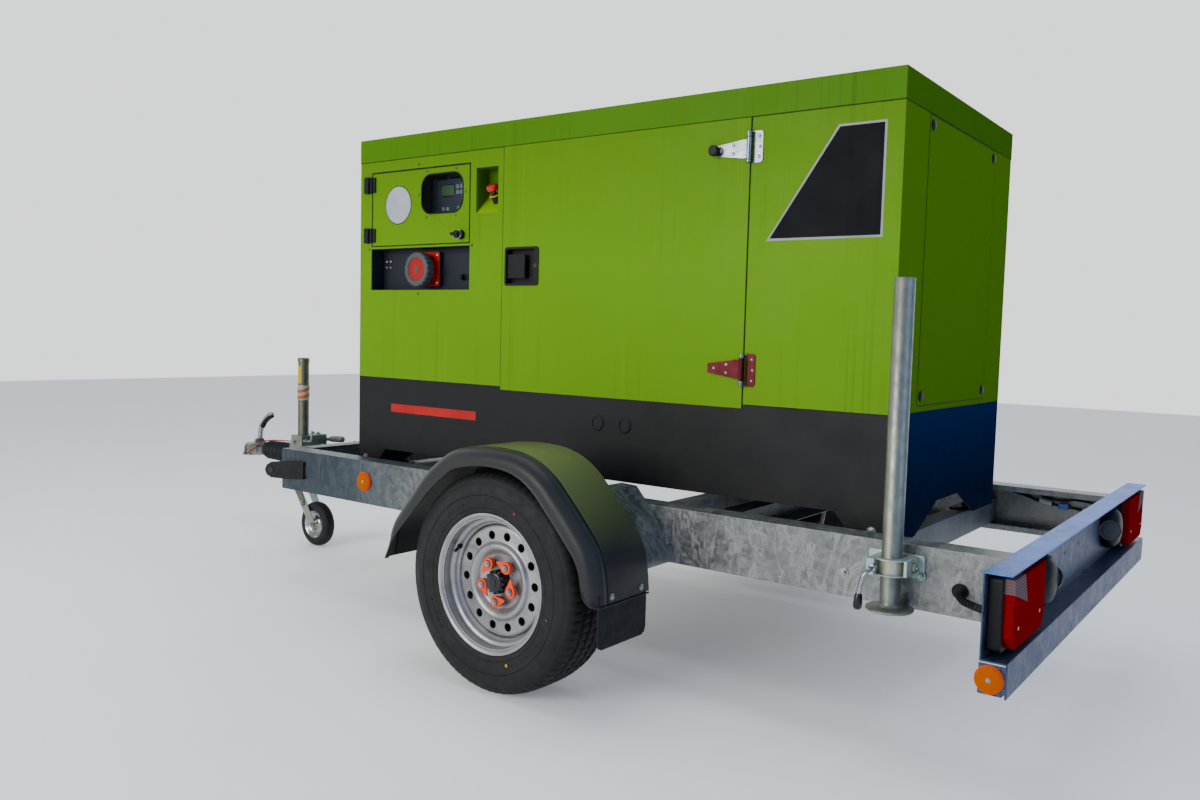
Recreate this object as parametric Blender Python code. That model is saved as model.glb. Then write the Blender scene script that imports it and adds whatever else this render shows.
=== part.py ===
# Towable diesel generator: silenced generator set on a single-axle braked road trailer.
# Metres, +Z up. The trailer is towed towards -X. The near (kerb control) side is -Y = "left".
# Dimensions below are written with x = 0 at the road-wheel axle; OX moves them to the part's origin.
import bpy
import bmesh
import math
from mathutils import Vector, Matrix

# ------------------------------------------------------------------ driving dimensions
FRONT_TIP = -2.630          # coupling nose
REAR_EDGE = 1.340           # light bar rear lip
OX = -(FRONT_TIP + REAR_EDGE) / 2.0
G = 0.0003                  # assembly gap between touching meshes

BODY_X0, BODY_X1 = -1.1555, 0.9335      # canopy length
BODY_Y = 0.475                          # canopy half width
BASE_Z0, BASE_Z1 = 0.549, 0.813         # skid base side walls
FOOT_Z = 0.4705                         # bottom of the base's corner feet
SEAM_Z = 1.603                          # roof skirt seam
ROOF_Z = 1.685
SHEET = 0.003

RAIL_Y = 0.620                          # rail web outer face
RAIL_Z0, RAIL_Z1 = 0.370, 0.524
RAIL_FL = 0.079                         # flange width
RAIL_T = 0.004
RAIL_FRONT = -1.430
BAR_X0, BAR_X1 = 1.2822, REAR_EDGE      # light bar web face, rear lip
BAR_Y = 0.840

TYRE_SEG = 36
HUB_Z = 0.310 * math.cos(math.pi / TYRE_SEG)   # a flat of the tyre stands on the ground
TRACK_Y = 0.867
TYRE_R = 0.310
RIM_R = 0.1953

DOOR_X0, DOOR_X1 = -0.4235, 0.4985
DOOR_Z0, DOOR_Z1 = 0.802, 1.6015
DOOR_YO = 0.4785                        # doors stand 3.5 mm proud of the side panels
HINGE_X, HINGE_Y = 0.5000, 0.4875

JK_X, JK_Y = -1.985, -0.130             # jockey tube axis
JK_TRAIL = 0.110
JK_SEG = 26
JK_Z = 0.100 * math.cos(math.pi / JK_SEG)
PS_X, PS_Y = 1.027, -0.6765             # prop stand axis
COUP_Z = 0.375                          # draw tube axis height

# ------------------------------------------------------------------ scene reset
for ob in list(bpy.data.objects):
    bpy.data.objects.remove(ob, do_unlink=True)

COL = bpy.context.scene.collection


def material(name, rgb, rough, metal):
    m = bpy.data.materials.get(name)
    if m is None:
        m = bpy.data.materials.new(name)
        m.use_nodes = True
        b = m.node_tree.nodes["Principled BSDF"]
        b.inputs["Base Color"].default_value = (rgb[0], rgb[1], rgb[2], 1.0)
        b.inputs["Roughness"].default_value = rough
        b.inputs["Metallic"].default_value = metal
    return m


LIME = ("lime_coat", (0.19, 0.33, 0.01), 0.45, 0.0)
CHAR = ("charcoal_coat", (0.02, 0.02, 0.025), 0.55, 0.0)
GALV = ("galvanised", (0.45, 0.48, 0.50), 0.45, 0.9)
ZINC = ("zinc_plate", (0.55, 0.56, 0.50), 0.35, 0.9)
RUBB = ("tyre_rubber", (0.02, 0.02, 0.02), 0.8, 0.0)
BLK = ("black_plastic", (0.025, 0.025, 0.03), 0.5, 0.0)
SILV = ("wheel_silver", (0.55, 0.55, 0.55), 0.35, 0.7)
RED = ("red_plastic", (0.6, 0.01, 0.01), 0.35, 0.0)
CHRM = ("bright_steel", (0.75, 0.75, 0.75), 0.15, 1.0)
CAST = ("cast_grey", (0.12, 0.13, 0.14), 0.55, 0.3)
ALU = ("aluminium", (0.6, 0.6, 0.6), 0.4, 0.9)


# ------------------------------------------------------------------ mesh helpers
def finish(bm, name, mat, smooth=False):
    bmesh.ops.recalc_face_normals(bm, faces=bm.faces)
    me = bpy.data.meshes.new(name)
    bm.to_mesh(me)
    bm.free()
    me.transform(Matrix.Translation((OX, 0, 0)))
    if smooth:
        me.shade_smooth()
        me.set_sharp_from_angle(angle=math.radians(35))
    ob = bpy.data.objects.new(name, me)
    COL.objects.link(ob)
    if mat is not None:
        me.materials.append(material(*mat))
    return ob


def box_bm(x0, x1, y0, y1, z0, z1):
    bm = bmesh.new()
    bmesh.ops.create_cube(bm, size=1.0)
    for v in bm.verts:
        v.co.x = x0 if v.co.x < 0 else x1
        v.co.y = y0 if v.co.y < 0 else y1
        v.co.z = z0 if v.co.z < 0 else z1
    return bm


def box(name, mat, x0, x1, y0, y1, z0, z1):
    return finish(box_bm(x0, x1, y0, y1, z0, z1), name, mat)


def prism_bm(pts, axis, a0, a1):
    # pts: closed outline in the two other axes (x,y), (x,z) or (y,z)
    bm = bmesh.new()
    lo, hi = [], []
    for p, q in pts:
        for lst, a in ((lo, a0), (hi, a1)):
            co = {"X": (a, p, q), "Y": (p, a, q), "Z": (p, q, a)}[axis]
            lst.append(bm.verts.new(co))
    n = len(pts)
    bm.faces.new(lo)
    bm.faces.new(hi)
    for i in range(n):
        j = (i + 1) % n
        bm.faces.new((lo[i], lo[j], hi[j], hi[i]))
    return bm


def prism(name, mat, pts, axis, a0, a1, smooth=False):
    return finish(prism_bm(pts, axis, a0, a1), name, mat, smooth)


def lathe_bm(prof, centre, axis, seg, half=False):
    # prof: closed loop of (a, r); points with r = 0 lie on the axis
    bm = bmesh.new()
    rings = []
    c = Vector(centre)
    for a, r in prof:
        if r < 1e-7:
            co = {"X": Vector((a, 0, 0)), "Y": Vector((0, a, 0)), "Z": Vector((0, 0, a))}[axis]
            rings.append([bm.verts.new(c + co)])
            continue
        ring = []
        for k in range(seg):
            t = 2 * math.pi * k / seg + (math.pi / 2 + math.pi / seg if half else 0.0)
            u, w = r * math.cos(t), r * math.sin(t)
            co = {"X": Vector((a, u, w)), "Y": Vector((u, a, w)), "Z": Vector((u, w, a))}[axis]
            ring.append(bm.verts.new(c + co))
        rings.append(ring)
    n = len(rings)
    for i in range(n):
        A, B = rings[i], rings[(i + 1) % n]
        if len(A) == 1 and len(B) == 1:
            continue
        for k in range(seg):
            k2 = (k + 1) % seg
            if len(A) == 1:
                bm.faces.new((A[0], B[k], B[k2]))
            elif len(B) == 1:
                bm.faces.new((A[k], B[0], A[k2]))
            else:
                bm.faces.new((A[k], B[k], B[k2], A[k2]))
    return bm


def lathe(name, mat, prof, centre, axis, seg, half=False):
    return finish(lathe_bm(prof, centre, axis, seg, half), name, mat, True)


def cyl_bm(p0, p1, r, seg=20):
    p0, p1 = Vector(p0), Vector(p1)
    d = (p1 - p0)
    L = d.length
    q = Vector((0, 0, 1)).rotation_difference(d.normalized())
    bm = bmesh.new()
    lo, hi = [], []
    for k in range(seg):
        t = 2 * math.pi * k / seg
        v = Vector((r * math.cos(t), r * math.sin(t), 0))
        lo.append(bm.verts.new(p0 + q @ v))
        hi.append(bm.verts.new(p0 + q @ (v + Vector((0, 0, L)))))
    bm.faces.new(lo)
    bm.faces.new(hi)
    for k in range(seg):
        j = (k + 1) % seg
        bm.faces.new((lo[k], lo[j], hi[j], hi[k]))
    return bm


def sweep_bm(pts, r, seg=8):
    # round bar or cable through a list of points, parallel-transported frame
    P = [Vector(p) for p in pts]
    bm = bmesh.new()
    rings = []
    t_prev = None
    nrm = None
    for i, p in enumerate(P):
        t = ((P[i + 1] if i + 1 < len(P) else P[i]) - (P[i - 1] if i else P[i])).normalized()
        if nrm is None:
            up = Vector((0, 0, 1)) if abs(t.z) < 0.9 else Vector((1, 0, 0))
            nrm = t.cross(up).normalized()
        else:
            nrm = (t_prev.rotation_difference(t) @ nrm).normalized()
        b = t.cross(nrm).normalized()
        rr = r[i] if isinstance(r, (list, tuple)) else r
        rings.append([bm.verts.new(p + nrm * (rr * math.cos(2 * math.pi * k / seg)) + b * (rr * math.sin(2 * math.pi * k / seg))) for k in range(seg)])
        t_prev = t
    for i in range(len(rings) - 1):
        A, B = rings[i], rings[i + 1]
        for k in range(seg):
            j = (k + 1) % seg
            bm.faces.new((A[k], A[j], B[j], B[k]))
    bm.faces.new(rings[0])
    bm.faces.new(rings[-1])
    return bm


def smooth_path(ctrl, n):
    # Catmull-Rom curve through the control points, n points
    C = [Vector(c) for c in ctrl]
    C = [C[0] * 2 - C[1]] + C + [C[-1] * 2 - C[-2]]
    out = []
    m = len(C) - 3
    for i in range(n):
        s = i * m / (n - 1)
        k = min(int(s), m - 1)
        t = s - k
        p0, p1, p2, p3 = C[k], C[k + 1], C[k + 2], C[k + 3]
        out.append(0.5 * ((2 * p1) + (p2 - p0) * t + (2 * p0 - 5 * p1 + 4 * p2 - p3) * t * t + (3 * p1 - p0 - 3 * p2 + p3) * t ** 3))
    return out


NCUT = [0]


def tool(bm):
    NCUT[0] += 1
    ob = finish(bm, "tool_%02d" % NCUT[0], None)
    ob.hide_render = True
    ob.display_type = "WIRE"
    return ob


def boolean(ob, op, bm):
    m = ob.modifiers.new(op.lower() + "_%d" % len(ob.modifiers), "BOOLEAN")
    m.operation = op
    m.solver = "EXACT"
    m.object = tool(bm)
    return ob


def union(ob, bm):
    return boolean(ob, "UNION", bm)


def cut(ob, bm):
    return boolean(ob, "DIFFERENCE", bm)


def rbox(cx, cy, hx, hy, r, n=4):
    # rounded rectangle outline
    pts = []
    for sx, sy, a0 in ((1, 1, 0), (-1, 1, 90), (-1, -1, 180), (1, -1, 270)):
        for k in range(n + 1):
            a = math.radians(a0 + 90 * k / n)
            pts.append((cx + sx * (hx - r) + r * math.cos(a), cy + sy * (hy - r) + r * math.sin(a)))
    return pts


# ================================================================== chassis
for s, side in ((-1, "left"), (1, "right")):
    yo, yi, yl = RAIL_Y, RAIL_Y - RAIL_FL, RAIL_Y - RAIL_FL + RAIL_T
    w = RAIL_Y - RAIL_T
    prof = [(yo, RAIL_Z0), (yo, RAIL_Z1), (yi, RAIL_Z1), (yi, RAIL_Z1 - 0.019), (yl, RAIL_Z1 - 0.019), (yl, RAIL_Z1 - RAIL_T),
            (w, RAIL_Z1 - RAIL_T), (w, RAIL_Z0 + RAIL_T), (yl, RAIL_Z0 + RAIL_T), (yl, RAIL_Z0 + 0.019), (yi, RAIL_Z0 + 0.019), (yi, RAIL_Z0)]
    rail = prism("chassis_rail_" + side, GALV, [(s * a, b) for a, b in prof], "X", RAIL_FRONT + 0.002, BAR_X0 - G)
    union(rail, box_bm(RAIL_FRONT, RAIL_FRONT + 0.005, min(s * yi, s * yo), max(s * yi, s * yo), RAIL_Z0, RAIL_Z1))

yi = RAIL_Y - RAIL_FL - G
prism("front_crossmember", GALV,
      [(RAIL_FRONT, RAIL_Z0), (RAIL_FRONT, RAIL_Z1), (-1.362, RAIL_Z1), (-1.362, RAIL_Z1 - 0.018), (-1.366, RAIL_Z1 - 0.018), (-1.366, RAIL_Z1 - 0.004),
       (RAIL_FRONT + 0.004, RAIL_Z1 - 0.004), (RAIL_FRONT + 0.004, RAIL_Z0 + 0.004), (-1.366, RAIL_Z0 + 0.004), (-1.366, RAIL_Z0 + 0.018), (-1.362, RAIL_Z0 + 0.018), (-1.362, RAIL_Z0)],
      "Y", -yi, yi)


def body_crossmember(name, xw, d):
    # C channel between the rail webs, below the top lips; its web is at xw, flanges run d along x
    t = math.copysign(0.004, d)
    z0, z1 = RAIL_Z0 + 0.019 + G, FOOT_Z - G
    prism(name, GALV, [(xw, z0), (xw, z1), (xw + d, z1), (xw + d, z1 - 0.004), (xw + t, z1 - 0.004), (xw + t, z0 + 0.004), (xw + d, z0 + 0.004), (xw + d, z0)],
          "Y", -(RAIL_Y - RAIL_T - G), RAIL_Y - RAIL_T - G)


body_crossmember("body_crossmember_front", -1.130, 0.070)
body_crossmember("body_crossmember_middle", 0.330, 0.070)
body_crossmember("body_crossmember_rear", 0.912, -0.060)

prism("rear_light_bar", GALV,
      [(BAR_X0, 0.352), (BAR_X0, 0.538), (BAR_X1, 0.538), (BAR_X1, 0.534), (BAR_X0 + 0.004, 0.534), (BAR_X0 + 0.004, 0.356),
       (BAR_X1, 0.356), (BAR_X1, 0.281), (BAR_X1 - 0.004, 0.281), (BAR_X1 - 0.004, 0.352)], "Y", -BAR_Y, BAR_Y)

axle = box("torsion_axle", GALV, -0.185, -0.115, -0.700, 0.700, 0.2997, 0.3697)
for s in (-1, 1):
    arm = [(-0.195, 0.300), (-0.195, 0.368), (-0.110, 0.368), (0.010, 0.345), (0.035, 0.325), (0.035, 0.295), (0.010, 0.276), (-0.110, 0.292)]
    union(axle, prism_bm(arm, "Y", min(s * 0.698, s * 0.734), max(s * 0.698, s * 0.734)))
    union(axle, cyl_bm((0, s * 0.730, HUB_Z), (0, s * 0.825, HUB_Z), 0.0195, 20))

# drawbar: V of two legs meeting in a nose block
prism("drawbar", GALV, [(RAIL_FRONT - G, 0.42), (-1.950, 0.060), (-1.950, -0.060), (RAIL_FRONT - G, -0.42), (RAIL_FRONT - G, -0.335), (-1.790, -0.050), (-1.790, 0.050), (RAIL_FRONT - G, 0.335)],
      "Z", 0.3755, 0.4455)

hs = box("overrun_housing", ZINC, -2.200, -1.9503, -0.055, 0.055, 0.330, 0.430)
cut(hs, cyl_bm((-2.30, 0, COUP_Z), (-1.965, 0, COUP_Z), 0.0256, 24))
for s in (-1, 1):       # ears that carry the handbrake lever's pin
    union(hs, prism_bm([(-2.085, 0.4285), (-2.085, 0.455), (-2.070, 0.470), (-2.050, 0.470), (-2.035, 0.455), (-2.035, 0.4285)], "Y", min(s * 0.0163, s * 0.0213), max(s * 0.0163, s * 0.0213)))

# bellows gaiter between housing and coupling head
prof = [(-2.2003, 0.0265)]
prof = []
xg0, xg1 = -2.4515, -2.2003
nb = 7
for i in range(nb * 2 + 1):
    a = xg0 + (xg1 - xg0) * i / (nb * 2)
    f = i / (nb * 2)
    prof.append((a, (0.044 + 0.008 * f) if i % 2 else (0.036 + 0.006 * f)))
prof.append((xg1, 0.0262))
prof.append((xg0, 0.0262))
lathe("coupling_gaiter", BLK, prof, (0, 0, COUP_Z), "X", 20)

# coupling head with its draw tube; the ball socket opens downwards
BALL_X = -2.585
cp = prism("coupling_head", ZINC,
           [(-2.630, -0.018), (-2.622, -0.033), (-2.605, -0.043), (-2.575, -0.045), (-2.540, -0.038), (-2.500, -0.030), (-2.452, -0.030),
            (-2.452, 0.030), (-2.500, 0.030), (-2.540, 0.038), (-2.575, 0.045), (-2.605, 0.043), (-2.622, 0.033), (-2.630, 0.018)], "Z", 0.338, 0.404)
union(cp, cyl_bm((-2.470, 0, COUP_Z), (-2.085, 0, COUP_Z), 0.0250, 24))
cut(cp, lathe_bm([(-0.060, 0.0), (-0.060, 0.0262), (0.0, 0.0262), (0.0132, 0.0226), (0.0226, 0.0132), (0.026, 0.0)], (BALL_X, 0, 0.364), "Z", 20))
for s in (-1, 1):
    union(cp, prism_bm([(-2.548, 0.400), (-2.540, 0.424), (-2.512, 0.424), (-2.504, 0.400)], "Y", min(s * 0.0133, s * 0.0173), max(s * 0.0133, s * 0.0173)))

hp = [(-2.527, 0, 0.4150), (-2.520, 0, 0.433), (-2.516, 0, 0.460), (-2.505, 0, 0.492), (-2.480, 0, 0.522), (-2.445, 0, 0.545), (-2.415, 0, 0.554)]
ch = finish(sweep_bm(smooth_path(hp, 13), [0.0095] * 7 + [0.012] * 5 + [0.010], 10), "coupling_handle", ZINC, True)
union(ch, cyl_bm((-2.527, -0.013, 0.4155), (-2.527, 0.013, 0.4155), 0.0085, 16))

lv = finish(sweep_bm(smooth_path([(-2.060, 0, 0.455), (-2.010, 0, 0.463), (-1.950, 0, 0.470), (-1.870, 0, 0.474)], 10), [0.009] * 6 + [0.0135] * 4, 10), "handbrake_lever", ZINC, True)
union(lv, cyl_bm((-2.060, -0.0160, 0.455), (-2.060, 0.0160, 0.455), 0.011, 16))

finish(sweep_bm(smooth_path([(-2.205, -0.030, 0.438), (-2.260, -0.026, 0.436), (-2.330, -0.022, 0.4315), (-2.400, -0.024, 0.4255), (-2.455, -0.034, 0.416),
                             (-2.480, -0.043, 0.398), (-2.505, -0.0425, 0.380), (-2.530, -0.047, 0.366), (-2.550, -0.052, 0.352)], 26), 0.0028, 8), "breakaway_cable", RED, True)

# ================================================================== jockey wheel
jc = box("jockey_clamp", ZINC, JK_X - 0.045, JK_X + 0.033, -0.164, -0.0245, 0.4303, 0.4950)
cut(jc, cyl_bm((JK_X, JK_Y, 0.40), (JK_X, JK_Y, 0.52), 0.0246, 28))
jh = finish(sweep_bm(smooth_path([(JK_X + 0.040, -0.150, 0.473), (JK_X + 0.073, -0.150, 0.473), (JK_X + 0.084, -0.150, 0.477), (JK_X + 0.088, -0.150, 0.489), (JK_X + 0.090, -0.150, 0.523)], 9), 0.005, 8),
            "jockey_clamp_handle", ZINC, True)
union(jh, cyl_bm((JK_X + 0.0333, -0.150, 0.473), (JK_X + 0.048, -0.150, 0.473), 0.009, 6))
lathe("jockey_tube", ZINC, [(0.290, 0.0), (0.290, 0.0275), (0.304, 0.0275), (0.304, 0.0240), (0.845, 0.0240), (0.848, 0.0215), (0.848, 0.0)], (JK_X, JK_Y, 0), "Z", 24)
FK = [(JK_X - 0.022, 0.246), (JK_X - 0.026, 0.262), (JK_X - 0.012, 0.276), (JK_X + 0.016, 0.276), (JK_X + 0.040, 0.240),
      (JK_X + JK_TRAIL + 0.018, 0.114), (JK_X + JK_TRAIL + 0.018, 0.092), (JK_X + JK_TRAIL, 0.082), (JK_X + JK_TRAIL - 0.018, 0.092), (JK_X + 0.004, 0.215)]
fk_ = prism("jockey_fork", ZINC, FK, "Y", JK_Y - 0.0345, JK_Y - 0.0305)
union(fk_, prism_bm(FK, "Y", JK_Y + 0.0305, JK_Y + 0.0345))
union(fk_, box_bm(JK_X - 0.020, JK_X + 0.022, JK_Y - 0.0330, JK_Y + 0.0330, 0.262, 0.2700))
union(fk_, cyl_bm((JK_X, JK_Y, 0.266), (JK_X, JK_Y, 0.2897), 0.020, 24))
union(fk_, cyl_bm((JK_X + JK_TRAIL, JK_Y - 0.0420, JK_Z), (JK_X + JK_TRAIL, JK_Y + 0.0420, JK_Z), 0.0060, 16))
lathe("jockey_wheel", RUBB, [(-0.029, 0.0064), (-0.029, 0.016), (-0.008, 0.022), (-0.008, 0.055), (-0.022, 0.062), (-0.024, 0.085), (-0.014, 0.098), (0.0, 0.100),
                             (0.014, 0.098), (0.024, 0.085), (0.022, 0.062), (0.008, 0.055), (0.008, 0.022), (0.029, 0.016), (0.029, 0.0064)],
      (JK_X + JK_TRAIL, JK_Y, JK_Z), "Y", JK_SEG, True)

# ================================================================== road wheels
for s, side in ((-1, "left"), (1, "right")):
    ty = [(0.7936, 0.1798), (0.9504, 0.1798), (0.9504, 0.1958), (0.957, 0.1960), (0.961, 0.205), (0.967, 0.250), (0.958, 0.290), (0.940, 0.304), (0.915, TYRE_R),
          (0.819, TYRE_R), (0.794, 0.304), (0.776, 0.290), (0.767, 0.250), (0.777, 0.205), (0.783, 0.1958), (0.7936, 0.1958)]
    lathe("tyre_" + side, RUBB, [(s * a, r) for a, r in ty], (0, 0, HUB_Z), "Y", TYRE_SEG, True)
    wh = [(0.936, 0.0), (0.935, 0.026), (0.928, 0.033), (0.903, 0.033), (0.901, 0.078), (0.921, 0.098), (0.921, 0.108), (0.902, 0.126), (0.900, 0.153),
          (0.914, 0.161), (0.928, 0.170), (0.946, 0.176), (0.9570, 0.188), (0.9570, RIM_R), (0.9510, RIM_R), (0.9507, 0.1795), (0.7933, 0.1795), (0.7930, RIM_R), (0.7870, RIM_R), (0.7875, 0.174),
          (0.890, 0.160), (0.888, 0.105), (0.745, 0.105), (0.745, 0.0200), (0.8255, 0.0200), (0.8255, 0.0)]
    lathe("road_wheel_" + side, SILV, [(s * a, r) for a, r in wh], (0, 0, HUB_Z), "Y", TYRE_SEG, True)

# ================================================================== mudguards
MG = [(-0.410, 0.322), (-0.392, 0.425), (-0.330, 0.500), (-0.243, 0.602), (-0.150, 0.666), (-0.095, 0.677), (0.010, 0.684), (0.100, 0.6785), (0.165, 0.656), (0.215, 0.623), (0.302, 0.5325), (0.3595, 0.466), (0.3795, 0.423), (0.389, 0.362), (0.392, 0.315)]
SK = [0.012, 0.050, 0.056, 0.058, 0.054, 0.050, 0.044, 0.046, 0.048, 0.050, 0.050, 0.048, 0.046, 0.044, 0.030]


def arch_normals(pts):
    out = []
    for i, p in enumerate(pts):
        a = pts[max(i - 1, 0)]
        b = pts[min(i + 1, len(pts) - 1)]
        t = Vector((b[0] - a[0], b[1] - a[1])).normalized()
        out.append(Vector((t.y, -t.x)))
    return out


def mudguard_bm(s):
    bm = bmesh.new()
    N = arch_normals(MG)
    rows = []
    for (x, z), n, d in zip(MG, N, SK):
        sec = [(0.750, 0.0), (0.964, 0.0), (0.978, 0.008), (0.980, 0.020), (0.980, d + 0.006), (0.976, d + 0.006), (0.976, 0.022), (0.963, 0.0045), (0.750, 0.0045)]
        if d < 0.02:
            sec = [(0.750, 0.0), (0.964, 0.0), (0.978, 0.003), (0.980, 0.006), (0.980, 0.012), (0.976, 0.012), (0.974, 0.008), (0.963, 0.0045), (0.750, 0.0045)]
        rows.append([bm.verts.new((x + n.x * r, s * y, z + n.y * r)) for y, r in sec])
    for A, B in zip(rows, rows[1:]):
        for k in range(len(A)):
            j = (k + 1) % len(A)
            bm.faces.new((A[k], A[j], B[j], B[k]))
    bm.faces.new(rows[0])
    bm.faces.new(rows[-1])
    return bm


for s, side in ((-1, "left"), (1, "right")):
    mg = finish(mudguard_bm(s), "mudguard_" + side, BLK)
    # mud flap bolted to the guard's rear face
    union(mg, box_bm(0.3834, 0.3884, min(s * 0.755, s * 0.965), max(s * 0.755, s * 0.965), 0.205, 0.372))
    # folded gusset from the rail web to the guard's inner edge
    gp = [(0.196, 0.575), (0.250, 0.572), (0.340, 0.470), (0.375, 0.400), (0.375, 0.374), (0.369, 0.374), (0.369, 0.398), (0.335, 0.466), (0.247, 0.5665), (0.196, 0.5695)]
    br = prism("mudguard_bracket_" + side, GALV, gp, "Y", min(s * 0.6203, s * 0.7497), max(s * 0.6203, s * 0.7497))
    union(br, box_bm(0.230, 0.372, min(s * 0.6203, s * 0.6243), max(s * 0.6203, s * 0.6243), 0.3745, 0.472))
    union(br, box_bm(-0.245, 0.200, min(s * 0.726, s * 0.7497), max(s * 0.726, s * 0.7497), 0.5690, 0.5730))
    union(br, box_bm(-0.245, -0.215, min(s * 0.6203, s * 0.7497), max(s * 0.6203, s * 0.7497), 0.5300, 0.5730))
    union(br, box_bm(-0.245, -0.215, min(s * 0.6203, s * 0.6243), max(s * 0.6203, s * 0.6243), 0.3745, 0.5400))

# ================================================================== prop stand
pb = box("prop_stand_bracket", ZINC, 0.983, 1.073, -0.7235, -0.6203, 0.459, 0.500)
union(pb, box_bm(0.950, 1.088, -0.6263, -0.6203, 0.445, 0.501))
cut(pb, cyl_bm((PS_X, PS_Y, 0.40), (PS_X, PS_Y, 0.55), 0.0246, 28))
lathe("prop_stand_tube", ZINC, [(0.3745, 0.0), (0.3745, 0.054), (0.3790, 0.056), (0.3815, 0.054), (0.3850, 0.0265), (0.392, 0.0240), (1.148, 0.0240), (1.148, 0.0212), (0.40, 0.0212), (0.40, 0.0)],
      (PS_X, PS_Y, 0), "Z", 24)
ph = finish(sweep_bm(smooth_path([(1.002, -0.731, 0.480), (1.002, -0.742, 0.480), (0.999, -0.752, 0.475), (0.990, -0.757, 0.460), (0.984, -0.758, 0.430), (0.982, -0.758, 0.418), (0.980, -0.758, 0.385)], 14),
                     [0.0055] * 9 + [0.0075, 0.009, 0.010, 0.0105, 0.0095], 10), "prop_clamp_handle", CHRM, True)
union(ph, cyl_bm((1.002, -0.7238, 0.480), (1.002, -0.735, 0.480), 0.009, 12))

# ================================================================== lights and conduit
for s, side in ((-1, "left"), (1, "right")):
    tl = prism("tail_lamp_" + side, BLK, rbox(s * 0.680, 0.446, 0.135, 0.082, 0.012, 3), "X", BAR_X0 + 0.004 + G, 1.318)
    lens = [(s * 0.805, 0.524), (s * 0.548, 0.524), (s * 0.548, 0.395), (s * 0.575, 0.370), (s * 0.805, 0.370)]
    union(tl, prism_bm(lens, "X", 1.312, BAR_X1 - 0.0005))

finish(sweep_bm(smooth_path([(1.1715, -0.6275, 0.432), (1.1770, -0.641, 0.425), (1.190, -0.653, 0.419), (1.215, -0.668, 0.417), (1.245, -0.690, 0.418), (1.2700, -0.705, 0.421)], 16), 0.0085, 10), "light_conduit", BLK, True)

# ================================================================== skid base
base = box("skid_base", CHAR, BODY_X0 + 0.0005, BODY_X1 - 0.0005, -BODY_Y + 0.0005, BODY_Y - 0.0005, BASE_Z0, BASE_Z1 - G)
cut(base, box_bm(BODY_X0 + 0.0035, BODY_X1 - 0.0035, -BODY_Y + 0.0035, BODY_Y - 0.0035, BASE_Z0 + 0.004, BASE_Z1 + 0.1))
bx0, bx1, by = BODY_X0 + 0.0005, BODY_X1 - 0.0005, BODY_Y - 0.0005
for sx in (0, 1):
    for s in (-1, 1):
        xe = bx1 if sx else bx0
        d = -1 if sx else 1
        ya, yb = sorted((s * by, s * 0.263))
        # side gusset
        side = [(xe, FOOT_Z), (xe, BASE_Z0 + 0.0035), (xe + d * 0.150, BASE_Z0 + 0.0035), (xe + d * 0.075, FOOT_Z)]
        y0, y1 = sorted((s * by, s * (by - 0.004)))
        union(base, prism_bm(side, "Y", y0, y1))
        # end gusset with the sloping cut-out
        end = [(s * (by - 0.0005), FOOT_Z + 0.0005), (s * 0.263, FOOT_Z + 0.0005), (s * 0.088, BASE_Z0 + 0.003), (s * (by - 0.0005), BASE_Z0 + 0.003)]
        x0, x1 = sorted((xe, xe + d * 0.004))
        union(base, prism_bm(end, "X", x0, x1))
        # foot plate on the crossmember
        x0, x1 = sorted((xe + d * 0.0005, xe + d * 0.075))
        y0, y1 = sorted((s * (by - 0.0005), s * 0.263))
        union(base, box_bm(x0, x1, y0, y1, FOOT_Z, FOOT_Z + 0.004))

box("fuel_tank", BLK, -0.300, 0.860, -0.400, 0.400, BASE_Z0 + 0.0045, 0.690)

# ================================================================== canopy
roof = box("roof_panel", LIME, BODY_X0 - 0.0015, BODY_X1 + 0.0015, -BODY_Y - 0.0015, BODY_Y + 0.0015, SEAM_Z, ROOF_Z)
cut(roof, box_bm(BODY_X0 + 0.002, BODY_X1 - 0.002, -BODY_Y + 0.002, BODY_Y - 0.002, SEAM_Z - 0.1, ROOF_Z - SHEET))

PZ0, PZ1 = BASE_Z1, SEAM_Z - G
CD = (-1.0880, -0.5830, 1.2950, 1.5610)      # control door opening x0 x1 z0 z1
SR = (-1.0910, -0.5810, 1.1360, 1.2850)      # socket recess opening
ES = (-0.5530, -0.4520, 1.3900, 1.5430)      # stop-button recess opening
pf = box("side_panel_front_left", LIME, BODY_X0, -0.4255, -BODY_Y, -BODY_Y + SHEET, PZ0, PZ1)
es_out = [(-0.4735, ES[2] - 0.004), (-0.4735, ES[3] + 0.003), (-0.4100, ES[3] + 0.003), (-0.4100, 1.4520)]
union(pf, prism_bm(es_out, "X", ES[0] - 0.003, ES[1] + 0.003))
es_in = [(-0.490, ES[2] - 0.015), (-0.490, ES[3]), (-0.4130, ES[3]), (-0.4130, 1.4535)]
cut(pf, prism_bm(es_in, "X", ES[0], ES[1]))
cut(pf, box_bm(CD[0], CD[1], -0.6, -0.4, CD[2], CD[3]))
cut(pf, box_bm(SR[0], SR[1], -0.6, -0.4, SR[2], SR[3]))
box("side_panel_rear_left", LIME, 0.5005, BODY_X1, -BODY_Y, -BODY_Y + SHEET, PZ0, PZ1)
box("side_panel_front_right", LIME, BODY_X0, -0.4255, BODY_Y - SHEET, BODY_Y, PZ0, PZ1)
box("side_panel_rear_right", LIME, 0.5005, BODY_X1, BODY_Y - SHEET, BODY_Y, PZ0, PZ1)
box("front_end_panel", LIME, BODY_X0, BODY_X0 + SHEET, -BODY_Y + SHEET + G, BODY_Y - SHEET - G, PZ0, PZ1)
box("rear_end_panel", LIME, BODY_X1 - SHEET, BODY_X1, -BODY_Y + SHEET + G, BODY_Y - SHEET - G, PZ0, PZ1)

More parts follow.
